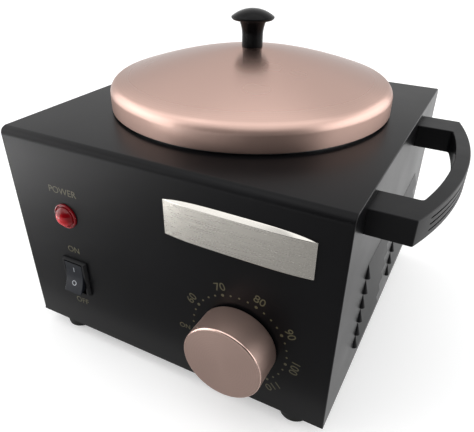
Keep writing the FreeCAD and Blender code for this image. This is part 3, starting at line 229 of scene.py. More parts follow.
def moulded(name, colours, gloss_range, grain, relief, ior, shine=0.5):
    """A moulded skin: two close tones, a range of roughness, and a grain of a given size in millimetres."""
    material, tree, shader, place = start_finish(name, {"IOR": ior, "Specular IOR Level": shine})
    pebbles = add(tree, "ShaderNodeTexNoise", {"Vector": place, "Scale": every(grain), "Detail": 2.0})
    cloud = add(tree, "ShaderNodeTexNoise", {"Vector": place, "Scale": every(CLOUD), "Detail": 2.0})
    drifting_skin(tree, shader, cloud.outputs["Fac"], colours, gloss_range, pebbles.outputs["Fac"], relief,
                  0.1)
    return material


# A line holds the name, two tones, the range of roughness, the grain in millimetres, its relief, the IOR, and
# how much of the IOR's shine is left where a half is all of it.
MOULDED = {
    "black_plastic": ("black_phenolic_moulded", ("#09090A", "#0F0F11"), (0.36, 0.44), 0.5, 0.12, 1.55, 0.12),
    "gloss_plastic": ("black_nylon_moulded", ("#08080A", "#0E0E11"), (0.26, 0.32), 0.9, 0.04, 1.53, 0.15),
    "rubber": ("black_rubber_moulded", ("#0A0A0A", "#121211"), (0.62, 0.78), 0.7, 0.2, 1.52, 0.25),
    "white_ceramic": ("white_steatite_pressed", ("#DCD7CB", "#E8E4DA"), (0.45, 0.6), 0.6, 0.1, 1.6),
    "insulation": ("white_mineral_felt", ("#B9B3A4", "#D8D3C6"), (0.9, 1.0), 1.2, 0.6, 1.5),
    "wire_brown": ("brown_silicone_sleeve", ("#4A2A18", "#58331E"), (0.4, 0.5), 0.5, 0.05, 1.45),
    "wire_blue": ("blue_silicone_sleeve", ("#1B4A9C", "#2458B0"), (0.4, 0.5), 0.5, 0.05, 1.45),
    "wire_green": ("green_yellow_silicone_sleeve", ("#2E7D3A", "#C9B52E"), (0.4, 0.5), 0.5, 0.05, 1.45),
}
for slot, recipe in MOULDED.items():
    finishes[slot] = moulded(*recipe)
knob_phenolic = moulded("black_phenolic_polished", ("#060607", "#0A0A0B"), (0.17, 0.24), 0.9, 0.05, 1.55,
                        0.06)
slate_nylon = moulded("slate_nylon_rocker", ("#14161B", "#1B1E25"), (0.26, 0.32), 0.9, 0.04, 1.53, 0.12)
print("made", len(finishes), "finishes so far")

# %% [markdown]
# ## Bare metals
# The pot and the well are aluminium, polished while they spin. The screws are zinc-plated steel, and clips
# and terminals are brass or copper. All show the tool that made them as a fine grain. A noise stretched along
# one direction gives that grain: the Mapping node squeezes one or two axes, so the specks become streaks.
# Their thin oxide keeps a low-angle reflection below white, which the tint at the edge stands for.

# %% Metal finishes
OXIDE_EDGE = "#C4C4C4"


def drawn_metal(name, colours, gloss_range, grain, stretch):
    """A bare metal with a grain of a given width in millimetres, drawn out along one axis."""
    material, tree, shader, place = start_finish(name, {"Metallic": 1.0, "Specular Tint": linear(OXIDE_EDGE)})
    along = add(tree, "ShaderNodeMapping", {"Vector": place, "Scale": stretch})
    streak = add(tree, "ShaderNodeTexNoise", {"Vector": along.outputs["Vector"], "Scale": every(grain),
                                             "Detail": 3.0})
    drifting_skin(tree, shader, streak.outputs["Fac"], colours, gloss_range, streak.outputs["Fac"], 0.06,
                  0.05)
    return material


# A line holds the name, two tones, the range of roughness, the grain in millimetres, and how it is squeezed.
METALS = {
    "aluminium": ("aluminium_spun", ("#B4B6B8", "#CFD1D2"), (0.28, 0.36), 0.8, (0.06, 0.06, 1.0)),
    "steel": ("steel_zinc_plated", ("#9EA1A3", "#C3C5C6"), (0.3, 0.42), 1.5, (1.0, 1.0, 1.0)),
    "bright_plate": ("nickel_polished", ("#B9B6B0", "#C8C5BF"), (0.12, 0.18), 2.0, (0.2, 1.0, 1.0)),
    "brass": ("brass_stamped", ("#B8964C", "#CFAE62"), (0.3, 0.4), 0.8, (0.2, 1.0, 1.0)),
    "copper": ("copper_drawn", ("#A9623F", "#C07A54"), (0.3, 0.4), 0.8, (1.0, 0.1, 1.0)),
}
for slot, recipe in METALS.items():
    finishes[slot] = drawn_metal(*recipe)
brushed_nickel = drawn_metal("nickel_brushed", ("#B4B0A9", "#C2BEB7"), (0.24, 0.34), 0.5, (0.02, 1.0, 1.0))
print("made", len(finishes), "finishes so far")

# %% [markdown]
# ## Lamp lens and printing ink
# The pilot lamp is a red polycarbonate cap: light enters it, so it is given transmission and its colour sits
# in the plastic itself. Round a spot over the bulb its red is painted brighter, a painted glow. The scale on
# the panel is screen-printed in a dull yellow ink, and the two marks on the rocker in a greyed white. Ink
# lies a little uneven, so its tone changes over a millimetre or so.

# %% Lens and inks
# Painted glow: within these distances of a spot over the bulb, the lens's red is painted brighter.
PAINTED_GLOW_SPOT, PAINTED_GLOW_FULL, PAINTED_GLOW_END = (-0.0715, -0.119, 0.1065), 2.0, 8.0


def lens_finish():
    """Polycarbonate, IOR 1.58: glossy and deep red, with a painted glow that makes the red brighter round a
    spot over the bulb.
    """
    material, tree, shader, place = start_finish("red_polycarbonate_lens", {
        "IOR": 1.58, "Specular IOR Level": 0.2, "Transmission Weight": 0.2})
    swirl = add(tree, "ShaderNodeTexNoise", {"Vector": place, "Scale": every(4), "Detail": 1.0})
    bulb = add(tree, "ShaderNodeVectorMath", {0: place, 1: PAINTED_GLOW_SPOT}, operation="DISTANCE")
    # The red is painted brighter near the bulb's spot, a painted glow that stands in for light.
    painted_glow = add(tree, "ShaderNodeMapRange", {
        "Value": bulb.outputs["Value"], "From Min": PAINTED_GLOW_FULL * MM, "From Max": PAINTED_GLOW_END * MM,
        "To Min": 1.0, "To Max": 0.0}, interpolation_type="SMOOTHSTEP")
    tone = add(tree, "ShaderNodeMix", {0: painted_glow.outputs["Result"], 6: linear("#80040F"), 7: linear("#DC1220")},
               data_type="RGBA")
    gloss = add(tree, "ShaderNodeMapRange", {"Value": swirl.outputs["Fac"], "To Min": 0.08, "To Max": 0.14})
    wire_up(tree, shader, tone.outputs[2], gloss.outputs["Result"])
    return material


finishes["red_lens"] = lens_finish()
yellow_ink = moulded("dull_yellow_screen_ink", ("#423E29", "#544F35"), (0.5, 0.6), 0.8, 0.1, 1.5)
white_ink = moulded("white_screen_ink", ("#9A9DA2", "#A9ACB1"), (0.45, 0.55), 0.8, 0.1, 1.5)
print("made", finishes["red_lens"].name, yellow_ink.name, white_ink.name)

# %% [markdown]
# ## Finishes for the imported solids
# Most inner pieces are right as they are packed and only need a finish. The record says which material slot
# each of them belongs to, so one loop hands every solid the finish of its slot.

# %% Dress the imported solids
for part in frame["record"]["subparts"]:
    mesh = frame["nodes"][part["node"]].data
    mesh.materials.clear()
    mesh.materials.append(finishes[part["material_slot"]])

# %% [markdown]
# ## Floor, light and camera
# The warmer stands on a pale floor in soft studio light, as in a shop's picture. The floor and the world
# look white to the camera and to anything that mirrors them, but light the object only at a plain level.
# Light Path tells the two apart. Two wide suns, one from the left and one overhead, give the soft shadow.
# Shiny metal shows the studio rather than itself, so the studio has what a photographer sets round it: a
# side that stays dark up to a good height where the camera stands, two large panels at the sides, and a small
# one that brightens the floor at the left. A black card on the floor in front, which only mirrors see and
# which casts no shadow, is painted shade: it darkens the floor as mirrors show it. The lid's skirt then has
# bright bands left and right of a dark one.

# %% Floor
FLOOR_HALF, FLOOR_LIFT = 4.0, 0.35


def stage_sheet(name, half, place, material):
    """A flat square of the studio, in metres, which isn't part of the object."""
    shape = bmesh.new()
    bmesh.ops.create_grid(shape, x_segments=1, y_segments=1, size=half, matrix=Matrix.Translation(place))
    mesh = bpy.data.meshes.new(name)
    shape.to_mesh(mesh)
    shape.free()
    mesh.materials.append(material)
    sheet = bpy.data.objects.new(name, mesh)
    bpy.context.scene.collection.objects.link(sheet)
    print(name, "is", round(2 * half, 1), "metres wide")
    return sheet


def seen_directly(tree):
    """One for rays that the camera, a mirror or a clear piece sends out, and nought for the rest."""
    path = add(tree, "ShaderNodeLightPath")
    first = add(tree, "ShaderNodeMath", {0: path.outputs["Is Camera Ray"], 1: path.outputs["Is Glossy Ray"]},
                operation="MAXIMUM")
    both = add(tree, "ShaderNodeMath", {0: first.outputs[0], 1: path.outputs["Is Transmission Ray"]},
               operation="MAXIMUM")
    return both.outputs[0]


def paper_floor():
    """White card: it scatters light like paper, and is lifted to white only where it is looked at."""
    material, tree = empty_finish("white_card_floor")
    card = add(tree, "ShaderNodeBsdfDiffuse", {"Color": linear("#E7E7E7")})
    lift = add(tree, "ShaderNodeEmission", {"Color": linear("#FFFFFF"), "Strength": FLOOR_LIFT})
    lit = add(tree, "ShaderNodeAddShader", {0: card.outputs[0], 1: lift.outputs[0]})
    seen = add(tree, "ShaderNodeMixShader", {0: seen_directly(tree), 1: card.outputs[0], 2: lit.outputs[0]})
    add(tree, "ShaderNodeOutputMaterial", {"Surface": seen.outputs[0]})
    material.cycles.emission_sampling = "NONE"
    return material


floor = stage_sheet("floor", FLOOR_HALF, (0, 0, 0), paper_floor())

# %% Dark card
# Painted shade: a black card that only mirrors see darkens the mirrored floor in front and fades out to the
# left.
CARD_HALF, CARD_PLACE = 0.7, (0.3, -0.84, 0.002)
CARD_LEFT, CARD_FADE, CARD_COVER = (-0.8, -0.6, 0.0), (0.1, 0.5), 0.62


def mirrored_shade_finish():
    """Painted shade seen only in mirrors: a black sheet that thins out to the left, where the card ends."""
    material, tree = empty_finish("mirrored_floor_shade")
    place = add(tree, "ShaderNodeTexCoord").outputs["Object"]
    leftwards = add(tree, "ShaderNodeVectorMath", {0: place, 1: CARD_LEFT}, operation="DOT_PRODUCT")
    cover = add(tree, "ShaderNodeMapRange", {
        "Value": leftwards.outputs["Value"], "From Min": CARD_FADE[0], "From Max": CARD_FADE[1],
        "To Min": CARD_COVER, "To Max": 0.0}, interpolation_type="SMOOTHSTEP")
    gap = add(tree, "ShaderNodeBsdfTransparent")
    painted_shade = add(tree, "ShaderNodeBsdfDiffuse", {"Color": linear("#0C0C0C")})
    mixed = add(tree, "ShaderNodeMixShader", {0: cover.outputs["Result"], 1: gap.outputs[0],
                                             2: painted_shade.outputs[0]})
    add(tree, "ShaderNodeOutputMaterial", {"Surface": mixed.outputs[0]})
    return material


# It casts no shadow and the camera doesn't see it, so it is shade painted into reflections only.
card = stage_sheet("dark_card", CARD_HALF, CARD_PLACE, mirrored_shade_finish())
card.visible_camera = card.visible_diffuse = card.visible_transmission = card.visible_shadow = False

# %% World
VIEWER_SIDE, SIDE_FADE, HEIGHT_FADE = (0.42, -0.91, 0.0), (0.45, 0.8), (0.5, 0.8)
DARKEST, ROOM_LIGHT = 0.97, 0.45
world = bpy.data.worlds.new("studio")
bpy.context.scene.world = world
world.use_nodes = True
tree = world.node_tree
tree.nodes.clear()
way = add(tree, "ShaderNodeTexCoord").outputs["Generated"]
to_viewer = add(tree, "ShaderNodeVectorMath", {0: way, 1: VIEWER_SIDE}, operation="DOT_PRODUCT")
ahead = add(tree, "ShaderNodeMapRange", {
    "Value": to_viewer.outputs["Value"], "From Min": SIDE_FADE[0], "From Max": SIDE_FADE[1],
    "To Min": 0.0, "To Max": DARKEST}, interpolation_type="SMOOTHSTEP")
height = add(tree, "ShaderNodeSeparateXYZ", {0: way})
low = add(tree, "ShaderNodeMapRange", {
    "Value": height.outputs["Z"], "From Min": HEIGHT_FADE[0], "From Max": HEIGHT_FADE[1],
    "To Min": 1.0, "To Max": 0.0}, interpolation_type="SMOOTHSTEP")
dark = add(tree, "ShaderNodeMath", {0: ahead.outputs["Result"], 1: low.outputs["Result"]},
           operation="MULTIPLY")
shade = add(tree, "ShaderNodeMath", {0: 1.0, 1: dark.outputs[0]}, operation="SUBTRACT")
mirrored = add(tree, "ShaderNodeBackground", {"Color": linear("#FFFFFF"), "Strength": shade.outputs[0]})
dim = add(tree, "ShaderNodeBackground", {"Color": linear("#FFFFFF"), "Strength": ROOM_LIGHT})
white = add(tree, "ShaderNodeBackground", {"Color": linear("#FFFFFF"), "Strength": 1.0})
path = add(tree, "ShaderNodeLightPath")
room = add(tree, "ShaderNodeMixShader", {0: path.outputs["Is Glossy Ray"], 1: dim.outputs[0],
                                        2: mirrored.outputs[0]})
clear = add(tree, "ShaderNodeMath", {0: path.outputs["Is Camera Ray"],
                                    1: path.outputs["Is Transmission Ray"]}, operation="MAXIMUM")
seen = add(tree, "ShaderNodeMixShader", {0: clear.outputs[0], 1: room.outputs[0], 2: white.outputs[0]})
add(tree, "ShaderNodeOutputWorld", {"Surface": seen.outputs[0]})
print("world of", len(tree.nodes), "nodes")

# %% Lamps
WARMER, FLOOR_SPOT = (0.0, 0.0, 0.11), (-0.44, -0.4, 0.0)


def lamp(name, kind, place, target, energy, **settings):
    """A lamp at a place, pointed at a target, in metres."""
    light = bpy.data.lights.new(name, kind)
    light.energy = energy
    for key, value in settings.items():
        setattr(light, key, value)
    holder = bpy.data.objects.new(name, light)
    holder.visible_camera = False
    bpy.context.scene.collection.objects.link(holder)
    aim = Vector(target) - Vector(place)
    holder.matrix_world = Matrix.Translation(place) @ aim.to_track_quat("-Z", "Y").to_matrix().to_4x4()


lamp("key_sun", "SUN", (-0.9, -0.3, 1.0), WARMER, 0.6, angle=math.radians(60))
lamp("ceiling_sun", "SUN", (0.25, -0.15, 2.0), (0.0, 0.0, 0.0), 1.0, angle=math.radians(72))
lamp("left_panel", "AREA", (-1.17, -0.43, 0.45), WARMER, 9.0, shape="RECTANGLE", size=1.8, size_y=0.9)
lamp("right_panel", "AREA", (1.08, 0.62, 0.45), WARMER, 11.0, shape="RECTANGLE", size=2.1, size_y=0.9)
lamp("floor_panel", "AREA", (-0.44, -0.4, 0.35), FLOOR_SPOT, 2.6, shape="DISK", size=0.3,
     spread=math.radians(80))

# %% Camera
EYE = Vector((0.15441, -0.30536, 0.27516))
AZIMUTH, ELEVATION, ROLL = math.radians(27.319), math.radians(32.134), math.radians(0.821)
SENSOR, FOCAL, SHIFT = 36, 37.28, (-0.00487, 0.0198)
view = bpy.data.cameras.new("photo_view")
view.sensor_fit, view.sensor_width, view.lens = "HORIZONTAL", SENSOR, FOCAL
view.shift_x, view.shift_y = SHIFT
view.clip_start = 0.01
camera = bpy.data.objects.new("photo_view", view)
camera.matrix_world = (Matrix.Translation(EYE) @ Matrix.Rotation(AZIMUTH, 4, "Z")
                       @ Matrix.Rotation(math.pi / 2 - ELEVATION, 4, "X") @ Matrix.Rotation(ROLL, 4, "Z"))
bpy.context.scene.collection.objects.link(camera)
bpy.context.scene.camera = camera
bpy.context.scene.view_settings.view_transform = "Standard"
print("camera at", tuple(round(value, 3) for value in EYE))

# %% [markdown]
# ## Tools for turned pieces
# Lid, knobs, pot, well, lens and feet are all turned or spun on the real object, so they are made the same
# way here: half of the outline is drawn as a wire, its corners are rounded, and the wire is spun once round.
# An arc in the outline is itself a spin, of a single vertex about the arc's centre.

# %% Wire, corner and spin helpers
def points(made):
    """The vertices among the elements that an operator made."""
    return [item for item in made if isinstance(item, bmesh.types.BMVert)]


def draw(start, *moves):
    """A wire in the XZ plane, in millimetres. A move is a point, or a centre with a turn and its steps."""
    shape = bmesh.new()
    tip = shape.verts.new((start[0] * MM, 0, start[1] * MM))
    for move in moves:
        if len(move) == 2:
            corner = shape.verts.new((move[0] * MM, 0, move[1] * MM))
            shape.edges.new((tip, corner))
            tip = corner
        else:
            across, up, turn, steps = move
            swept = bmesh.ops.spin(shape, geom=[tip], cent=(across * MM, 0, up * MM), axis=(0, 1, 0),
                                   angle=math.radians(turn), steps=steps)
            tip = points(swept["geom_last"])[0]
    bmesh.ops.remove_doubles(shape, verts=shape.verts[:], dist=0.001 * MM)
    return shape


def soften(shape, *corners, segments=5):
    """Rounds corners of a wire. Each is given by its place and by how far the round reaches from it."""
    for across, up, reach in corners:
        spot = Vector((across * MM, 0, up * MM))
        corner = min(shape.verts, key=lambda vert: (vert.co - spot).length)
        bmesh.ops.bevel(shape, geom=[corner], offset=reach * MM, offset_type="OFFSET", affect="VERTICES",
                        segments=segments, profile=0.5, material=-1)


def spin_up(shape, steps):
    """Spins the wire once round Z, closes its seam and poles, and turns its faces outwards."""
    bmesh.ops.spin(shape, geom=shape.verts[:] + shape.edges[:], cent=(0, 0, 0), axis=(0, 0, 1),
                   angle=math.tau, steps=steps, use_merge=True)
    bmesh.ops.remove_doubles(shape, verts=shape.verts[:], dist=0.005 * MM)
    bmesh.ops.recalc_face_normals(shape, faces=shape.faces[:])


WELL_AXIS = Matrix.Translation((0, 9 * MM, 0))
print("turned pieces of the well stand", WELL_AXIS.translation.y / MM, "mm behind the centre")

# %% Piece helper
CREASE = 30


def finish_piece(name, shape, materials, body, slot, *replaced, crease=CREASE):
    """Makes a bmesh a piece of the object, smooth except at creases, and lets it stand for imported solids."""
    mesh = bpy.data.meshes.new(name)
    shape.to_mesh(mesh)
    shape.free()
    for material in materials:
        mesh.materials.append(material)
    mesh.shade_smooth()
    mesh.set_sharp_from_angle(angle=math.radians(crease))
    piece = bpy.data.objects.new(name, mesh)
    bpy.context.scene.collection.objects.link(piece)
    piece.modifiers.new("even_shading", "WEIGHTED_NORMAL").keep_sharp = True
    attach(piece, body)
    if replaced:
        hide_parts(*replaced)
    print(name, "has", len(mesh.polygons), "faces and rides on", body)


print("edges that bend by more than", CREASE, "degrees stay sharp")

# %% [markdown]
# ## Lid
# The lid is one disc of aluminium, spun over a form into a shallow dome with a rounded shoulder and a short
# upright skirt. The dome's outline is one long arc whose centre lies a little beyond the axis, so the dome
# rises to a slight point under the knob. The skin is drawn first and gets the sheet's thickness afterwards,
# which keeps the wall even, as spinning does.

# %% Lid shell
LID_RADIUS, LID_RIM, LID_TOP, LID_RISE, LID_WALL, LID_HOLE = 98.0, 163.5, 201.0, 22.2, 1.2, 2.2
DOME_ARC, LID_SHOULDER, RIM_ROUND = 400.0, 4.9, 0.4
NEAR = 0.01 * MM  # places closer than this count as one
chord = math.hypot(LID_RADIUS, LID_RISE)
apart = math.sqrt(DOME_ARC ** 2 - chord ** 2 / 4)
dome_x = LID_RADIUS / 2 - apart * LID_RISE / chord
dome_z = LID_TOP - LID_RISE / 2 - apart * LID_RADIUS / chord


def round_edges(shape, edges, reach, segments=3):
    """Rounds edges of a shape, as far as the round reaches from them in millimetres."""
    bmesh.ops.bevel(shape, geom=edges, offset=reach * MM, offset_type="OFFSET", affect="EDGES",
                    segments=segments, profile=0.5, material=-1)


def dome_turn(distance):
    """How far the dome leans, in degrees, at a distance from the lid's axis."""
    return math.degrees(math.asin((distance - dome_x) / DOME_ARC))


def dome_level(distance):
    """The height of the dome's outer face at a distance from the lid's axis."""
    return dome_z + DOME_ARC * math.cos(math.radians(dome_turn(distance)))


shape = draw((LID_HOLE, dome_level(LID_HOLE)),
             (dome_x, dome_z, dome_turn(LID_RADIUS) - dome_turn(LID_HOLE), 14), (LID_RADIUS, LID_RIM))
soften(shape, (LID_RADIUS, LID_TOP - LID_RISE, LID_SHOULDER), segments=10)
spin_up(shape, 128)
bmesh.ops.solidify(shape, geom=shape.faces[:], thickness=LID_WALL * MM)
rim = [edge for edge in shape.edges if all(abs(vert.co.z - LID_RIM * MM) < NEAR for vert in edge.verts)
       and abs(edge.verts[0].co.to_2d().length - edge.verts[1].co.to_2d().length) < NEAR]
round_edges(shape, rim, RIM_ROUND)
shape.transform(WELL_AXIS)
finish_piece("spun_lid", shape, [lid_gold], "lid", "rose_gold", "lid_shell")

# %% [markdown]
# ## Lid knob
# The knob is moulded: a straight foot, a flare that curves outwards, and a low crowned cap with a thin rim.
# A screw from inside the lid goes into the blind bore in its foot, whose underside leans as the dome does.
# The flare is an arc that leaves the foot without a corner, and the crown is an arc that ends on the axis.

# %% Knob of the lid
KNOB_FOOT, KNOB_NECK, KNOB_BORE, KNOB_BORE_DEPTH = 7.1, 6.5, 2.05, 12.3
FLARE_OUT, FLARE_UP, CAP_RADIUS, CAP_UNDER, CAP_RIM, KNOB_TOP = 9.2, 16.1, 14.8, 16.7, 18.1, 23.5
cap_inner = CAP_RADIUS - 1.2
flare = ((FLARE_OUT - KNOB_FOOT) ** 2 + (FLARE_UP - KNOB_NECK) ** 2) / (2 * (FLARE_OUT - KNOB_FOOT))
flare_turn = math.degrees(math.asin((FLARE_UP - KNOB_NECK) / flare))
crown = (CAP_RADIUS ** 2 + (KNOB_TOP - CAP_RIM) ** 2) / (2 * (KNOB_TOP - CAP_RIM))
crown_turn = math.degrees(math.asin(CAP_RADIUS / crown))
bore_low, foot_low = dome_level(KNOB_BORE) - LID_TOP, dome_level(KNOB_FOOT) - LID_TOP
shape = draw((KNOB_BORE, bore_low), (KNOB_FOOT, foot_low), (KNOB_FOOT, KNOB_NECK),
             (KNOB_FOOT + flare, KNOB_NECK, flare_turn, 12), (cap_inner, CAP_UNDER),
             (CAP_RADIUS, CAP_RIM), (0, KNOB_TOP - crown, -crown_turn, 14), (0, KNOB_BORE_DEPTH),
             (KNOB_BORE, KNOB_BORE_DEPTH), (KNOB_BORE, bore_low))
soften(shape, (KNOB_FOOT, foot_low, 0.4), (FLARE_OUT, FLARE_UP, 0.5), (cap_inner, CAP_UNDER, 0.4),
       (CAP_RADIUS, CAP_RIM, 0.8))
spin_up(shape, 64)
shape.transform(WELL_AXIS @ Matrix.Translation((0, 0, LID_TOP * MM)))
finish_piece("moulded_lid_knob", shape, [knob_phenolic], "lid", "black_plastic", "lid_knob")

# %% [markdown]
# ## Pot and heating well
# Both are deep-drawn aluminium cups with a flat flange. The well hangs in the hole of the housing's top by
# its flange, and the pot stands on the well's floor with a lip to lift it by. Their walls are drawn as closed
# outlines, because lip and wall differ in thickness.

# %% Pot
POT_WALL, POT_BORE, POT_LIP = 84.0, 82.5, 91.0
POT_LOW, POT_FLOOR, LIP_LOW, LIP_TOP = 44.0, 45.5, 177.7, 179.7
shape = draw((0, POT_LOW), (POT_WALL, POT_LOW), (POT_WALL, LIP_LOW), (POT_LIP, LIP_LOW), (POT_LIP, LIP_TOP),
             (POT_BORE, LIP_TOP), (POT_BORE, POT_FLOOR), (0, POT_FLOOR))
soften(shape, (POT_WALL, POT_LOW, 12), (POT_BORE, POT_FLOOR, 10.5), segments=8)
soften(shape, (POT_WALL, LIP_LOW, 1.2), (POT_LIP, LIP_LOW, 0.7), (POT_LIP, LIP_TOP, 0.9),
       (POT_BORE, LIP_TOP, 2.5))
spin_up(shape, 128)
shape.transform(WELL_AXIS)
finish_piece("drawn_pot", shape, [finishes["aluminium"]], "pot", "aluminium", "wax_pot")

# %% Well
WELL_WALL, WELL_BORE, WELL_FLANGE = 87.2, 86.0, 95.0
WELL_LOW, WELL_FLOOR, FLANGE_LOW, FLANGE_TOP = 42.8, 44.0, 162.0, 163.2
shape = draw((0, WELL_LOW), (WELL_WALL, WELL_LOW), (WELL_WALL, FLANGE_LOW), (WELL_FLANGE, FLANGE_LOW),
             (WELL_FLANGE, FLANGE_TOP), (WELL_BORE, FLANGE_TOP), (WELL_BORE, WELL_FLOOR), (0, WELL_FLOOR))
soften(shape, (WELL_WALL, WELL_LOW, 9.2), (WELL_BORE, WELL_FLOOR, 8), segments=8)
soften(shape, (WELL_FLANGE, FLANGE_TOP, 0.5), (WELL_BORE, FLANGE_TOP, 0.9))
spin_up(shape, 128)
shape.transform(WELL_AXIS)
finish_piece("drawn_well", shape, [finishes["aluminium"]], "housing", "aluminium", "heating_well")

# %% [markdown]
# ## Temperature dial
# The dial is a turned aluminium cap: a straight barrel and a flat face, both blasted to a satin, and between
# them a rounded edge that is cut last with a polished tool, so it alone mirrors the room. The edge gets a
# finish of its own by its faces' lean. Inside, a wide recess clears the nut and a bore takes the shaft.

# %% Dial
DIAL_RADIUS, DIAL_TALL, DIAL_EDGE, NUT_ROOM, NUT_DEEP, BORE, BORE_DEEP = 25.2, 21.2, 1.3, 13.0, 9.5, 3.1, 17.0
DIAL_X, DIAL_Z, DIAL_GAP = 57.0, 60.0, 1.5
FACING_FRONT = Matrix.Rotation(math.pi / 2, 4, "X")
PANEL = Matrix.Translation((0, -115 * MM, 0)) @ FACING_FRONT


def on_panel(across, up, out=0, turn=0):
    """A place on the front panel, in millimetres across, up and out from it, turned by degrees."""
    return (PANEL @ Matrix.Translation((across * MM, up * MM, out * MM))
            @ Matrix.Rotation(math.radians(turn), 4, "Z"))


shape = draw((NUT_ROOM, 0), (DIAL_RADIUS, 0), (DIAL_RADIUS, DIAL_TALL), (0, DIAL_TALL), (0, BORE_DEEP),
             (BORE, BORE_DEEP), (BORE, NUT_DEEP), (NUT_ROOM, NUT_DEEP), (NUT_ROOM, 0))
soften(shape, (DIAL_RADIUS, 0, 0.5), (DIAL_RADIUS, DIAL_TALL, DIAL_EDGE), (NUT_ROOM, 0, 0.4))
spin_up(shape, 128)
edge_low = (DIAL_TALL - DIAL_EDGE - 0.1) * MM
for face in shape.faces:
    if face.calc_center_median().z > edge_low and 0.05 < face.normal.z < 0.98:
        face.material_index = 1
shape.transform(on_panel(DIAL_X, DIAL_Z, DIAL_GAP))
finish_piece("turned_dial", shape, [dial_gold, dial_edge], "dial", "rose_gold", "temperature_knob")

# %% [markdown]
# ## Pilot lamp
# The lamp's cap is moulded in one piece: a thin flange that lies on the panel, a groove, and a dome over the
# bulb.

# %% Lamp cap
LENS, LENS_TOP, LENS_FOOT = 7.0, 6.2, 1.8
CAP_FLANGE, CAP_TALL, CAP_LIP, CAP_LIP_TALL, CAP_GROOVE, CAP_GROOVE_FLOOR = 8.8, 1.2, 7.8, 1.6, 7.5, 1.0
SWITCH_X, LAMP_Z = -70.5, 109.5
lens_ball = (LENS ** 2 + (LENS_TOP - LENS_FOOT) ** 2) / (2 * (LENS_TOP - LENS_FOOT))
lens_turn = math.degrees(math.asin(LENS / lens_ball))
shape = draw((0, 0), (CAP_FLANGE, 0), (CAP_FLANGE, CAP_TALL), (CAP_LIP, CAP_LIP_TALL),
             (CAP_GROOVE, CAP_GROOVE_FLOOR), (LENS, CAP_GROOVE_FLOOR), (LENS, LENS_FOOT),
             (0, LENS_TOP - lens_ball, -lens_turn, 14))
soften(shape, (CAP_FLANGE, CAP_TALL, 0.3), (CAP_LIP, CAP_LIP_TALL, 0.2), (LENS, LENS_FOOT, 0.3))
spin_up(shape, 64)
shape.transform(on_panel(SWITCH_X, LAMP_Z))
finish_piece("moulded_lamp_cap", shape, [finishes["red_lens"]], "housing", "red_lens", "lamp_lens")

# %% [markdown]
# ## Feet
# Four rubber feet, each a low tapered drum with a sunk screw. They widen upwards, so the mould lets go of
# them easily, and the ground edge is rounded where the rubber would otherwise tear.

# %% Feet
FOOT_LOW, FOOT_HIGH, FOOT_TALL, SINK, SINK_DEEP, FOOT_HOLE = 10.5, 11.5, 12.0, 5.0, 6.0, 2.2
for name in ("front_left", "front_right", "rear_left", "rear_right"):
    shape = draw((SINK, 0), (FOOT_LOW, 0), (FOOT_HIGH, FOOT_TALL), (FOOT_HOLE, FOOT_TALL),
                 (FOOT_HOLE, SINK_DEEP), (SINK, SINK_DEEP), (SINK, 0))
    soften(shape, (FOOT_LOW, 0, 0.9), (FOOT_HIGH, FOOT_TALL, 0.5), (SINK, 0, 0.5))
    spin_up(shape, 48)
    spot = middle("foot_" + name)
    shape.transform(Matrix.Translation((spot.x, spot.y, 0)))
    finish_piece("rubber_foot_" + name, shape, [finishes["rubber"]], "housing", "rubber", "foot_" + name)

# %% [markdown]
# ## Cord inlet
# A nylon gland closes the hole in the back panel: its thread goes through the sheet and its round nut is
# ribbed for the fingers. The ribs are every second strip of the spun nut, pushed in a little.

# %% Gland
CORD, THREAD, GRIP_NUT, NUT_END = 3.6, 6.0, 9.0, 7.0
THREAD_END, RIB_LOW, RIB_TOP, NUT_TOP = -11.2, 1.6, 6.0, 8.0
RIB_GAP, RIB_DEEP = 0.15, 0.5
GLAND_PLACE = (-76.5 * MM, 115 * MM, 40 * MM)
shape = draw((CORD, THREAD_END), (THREAD, THREAD_END), (THREAD, 0), (GRIP_NUT, 0), (GRIP_NUT, RIB_LOW),
             (GRIP_NUT, RIB_TOP), (NUT_END, NUT_TOP), (CORD, NUT_TOP), (CORD, THREAD_END))
soften(shape, (GRIP_NUT, 0, 0.4), (NUT_END, NUT_TOP, 0.8), (CORD, NUT_TOP, 0.8))
spin_up(shape, 48)
centres = {face: face.calc_center_median() for face in shape.faces}
strips = [face for face, centre in centres.items()
          if abs(centre.to_2d().length - GRIP_NUT * MM) < 0.1 * MM and RIB_LOW * MM < centre.z < RIB_TOP * MM]
strips.sort(key=lambda face: math.atan2(centres[face].y, centres[face].x))
for face in strips[::2]:
    bmesh.ops.inset_individual(shape, faces=[face], thickness=RIB_GAP * MM, depth=-RIB_DEEP * MM,
                               use_even_offset=True)
shape.transform(Matrix.Translation(GLAND_PLACE) @ Matrix.Rotation(-math.pi / 2, 4, "X"))
finish_piece("ribbed_gland", shape, [finishes["gloss_plastic"]], "housing", "gloss_plastic", "cord_gland")

# %% [markdown]
# ## Carry handle
# The handle is one moulding: two legs that stand on the side panel and a thin bow between them, with three
# finger grooves along its outer face. The outline is a wire with two arcs. It is filled, raised, and its long
# edges are rounded. Planes then cut the outer face into strips, and the strips of the grooves are pushed in.

# %% Handle
REACH, HALF, LEG, BOW, INNER_REACH, GRIP, TALL = 24.0, 75.0, 22.0, 14.0, 22.5, 8.6, 15.0
EDGE_ROUND, CROOK_ROUND = 0.7, 1.6


def pull(shape, faces, way):
    """Extrudes faces, and moves what that adds along a way in metres."""
    added = bmesh.ops.extrude_face_region(shape, geom=faces)
    bmesh.ops.translate(shape, vec=way, verts=points(added["geom"]))


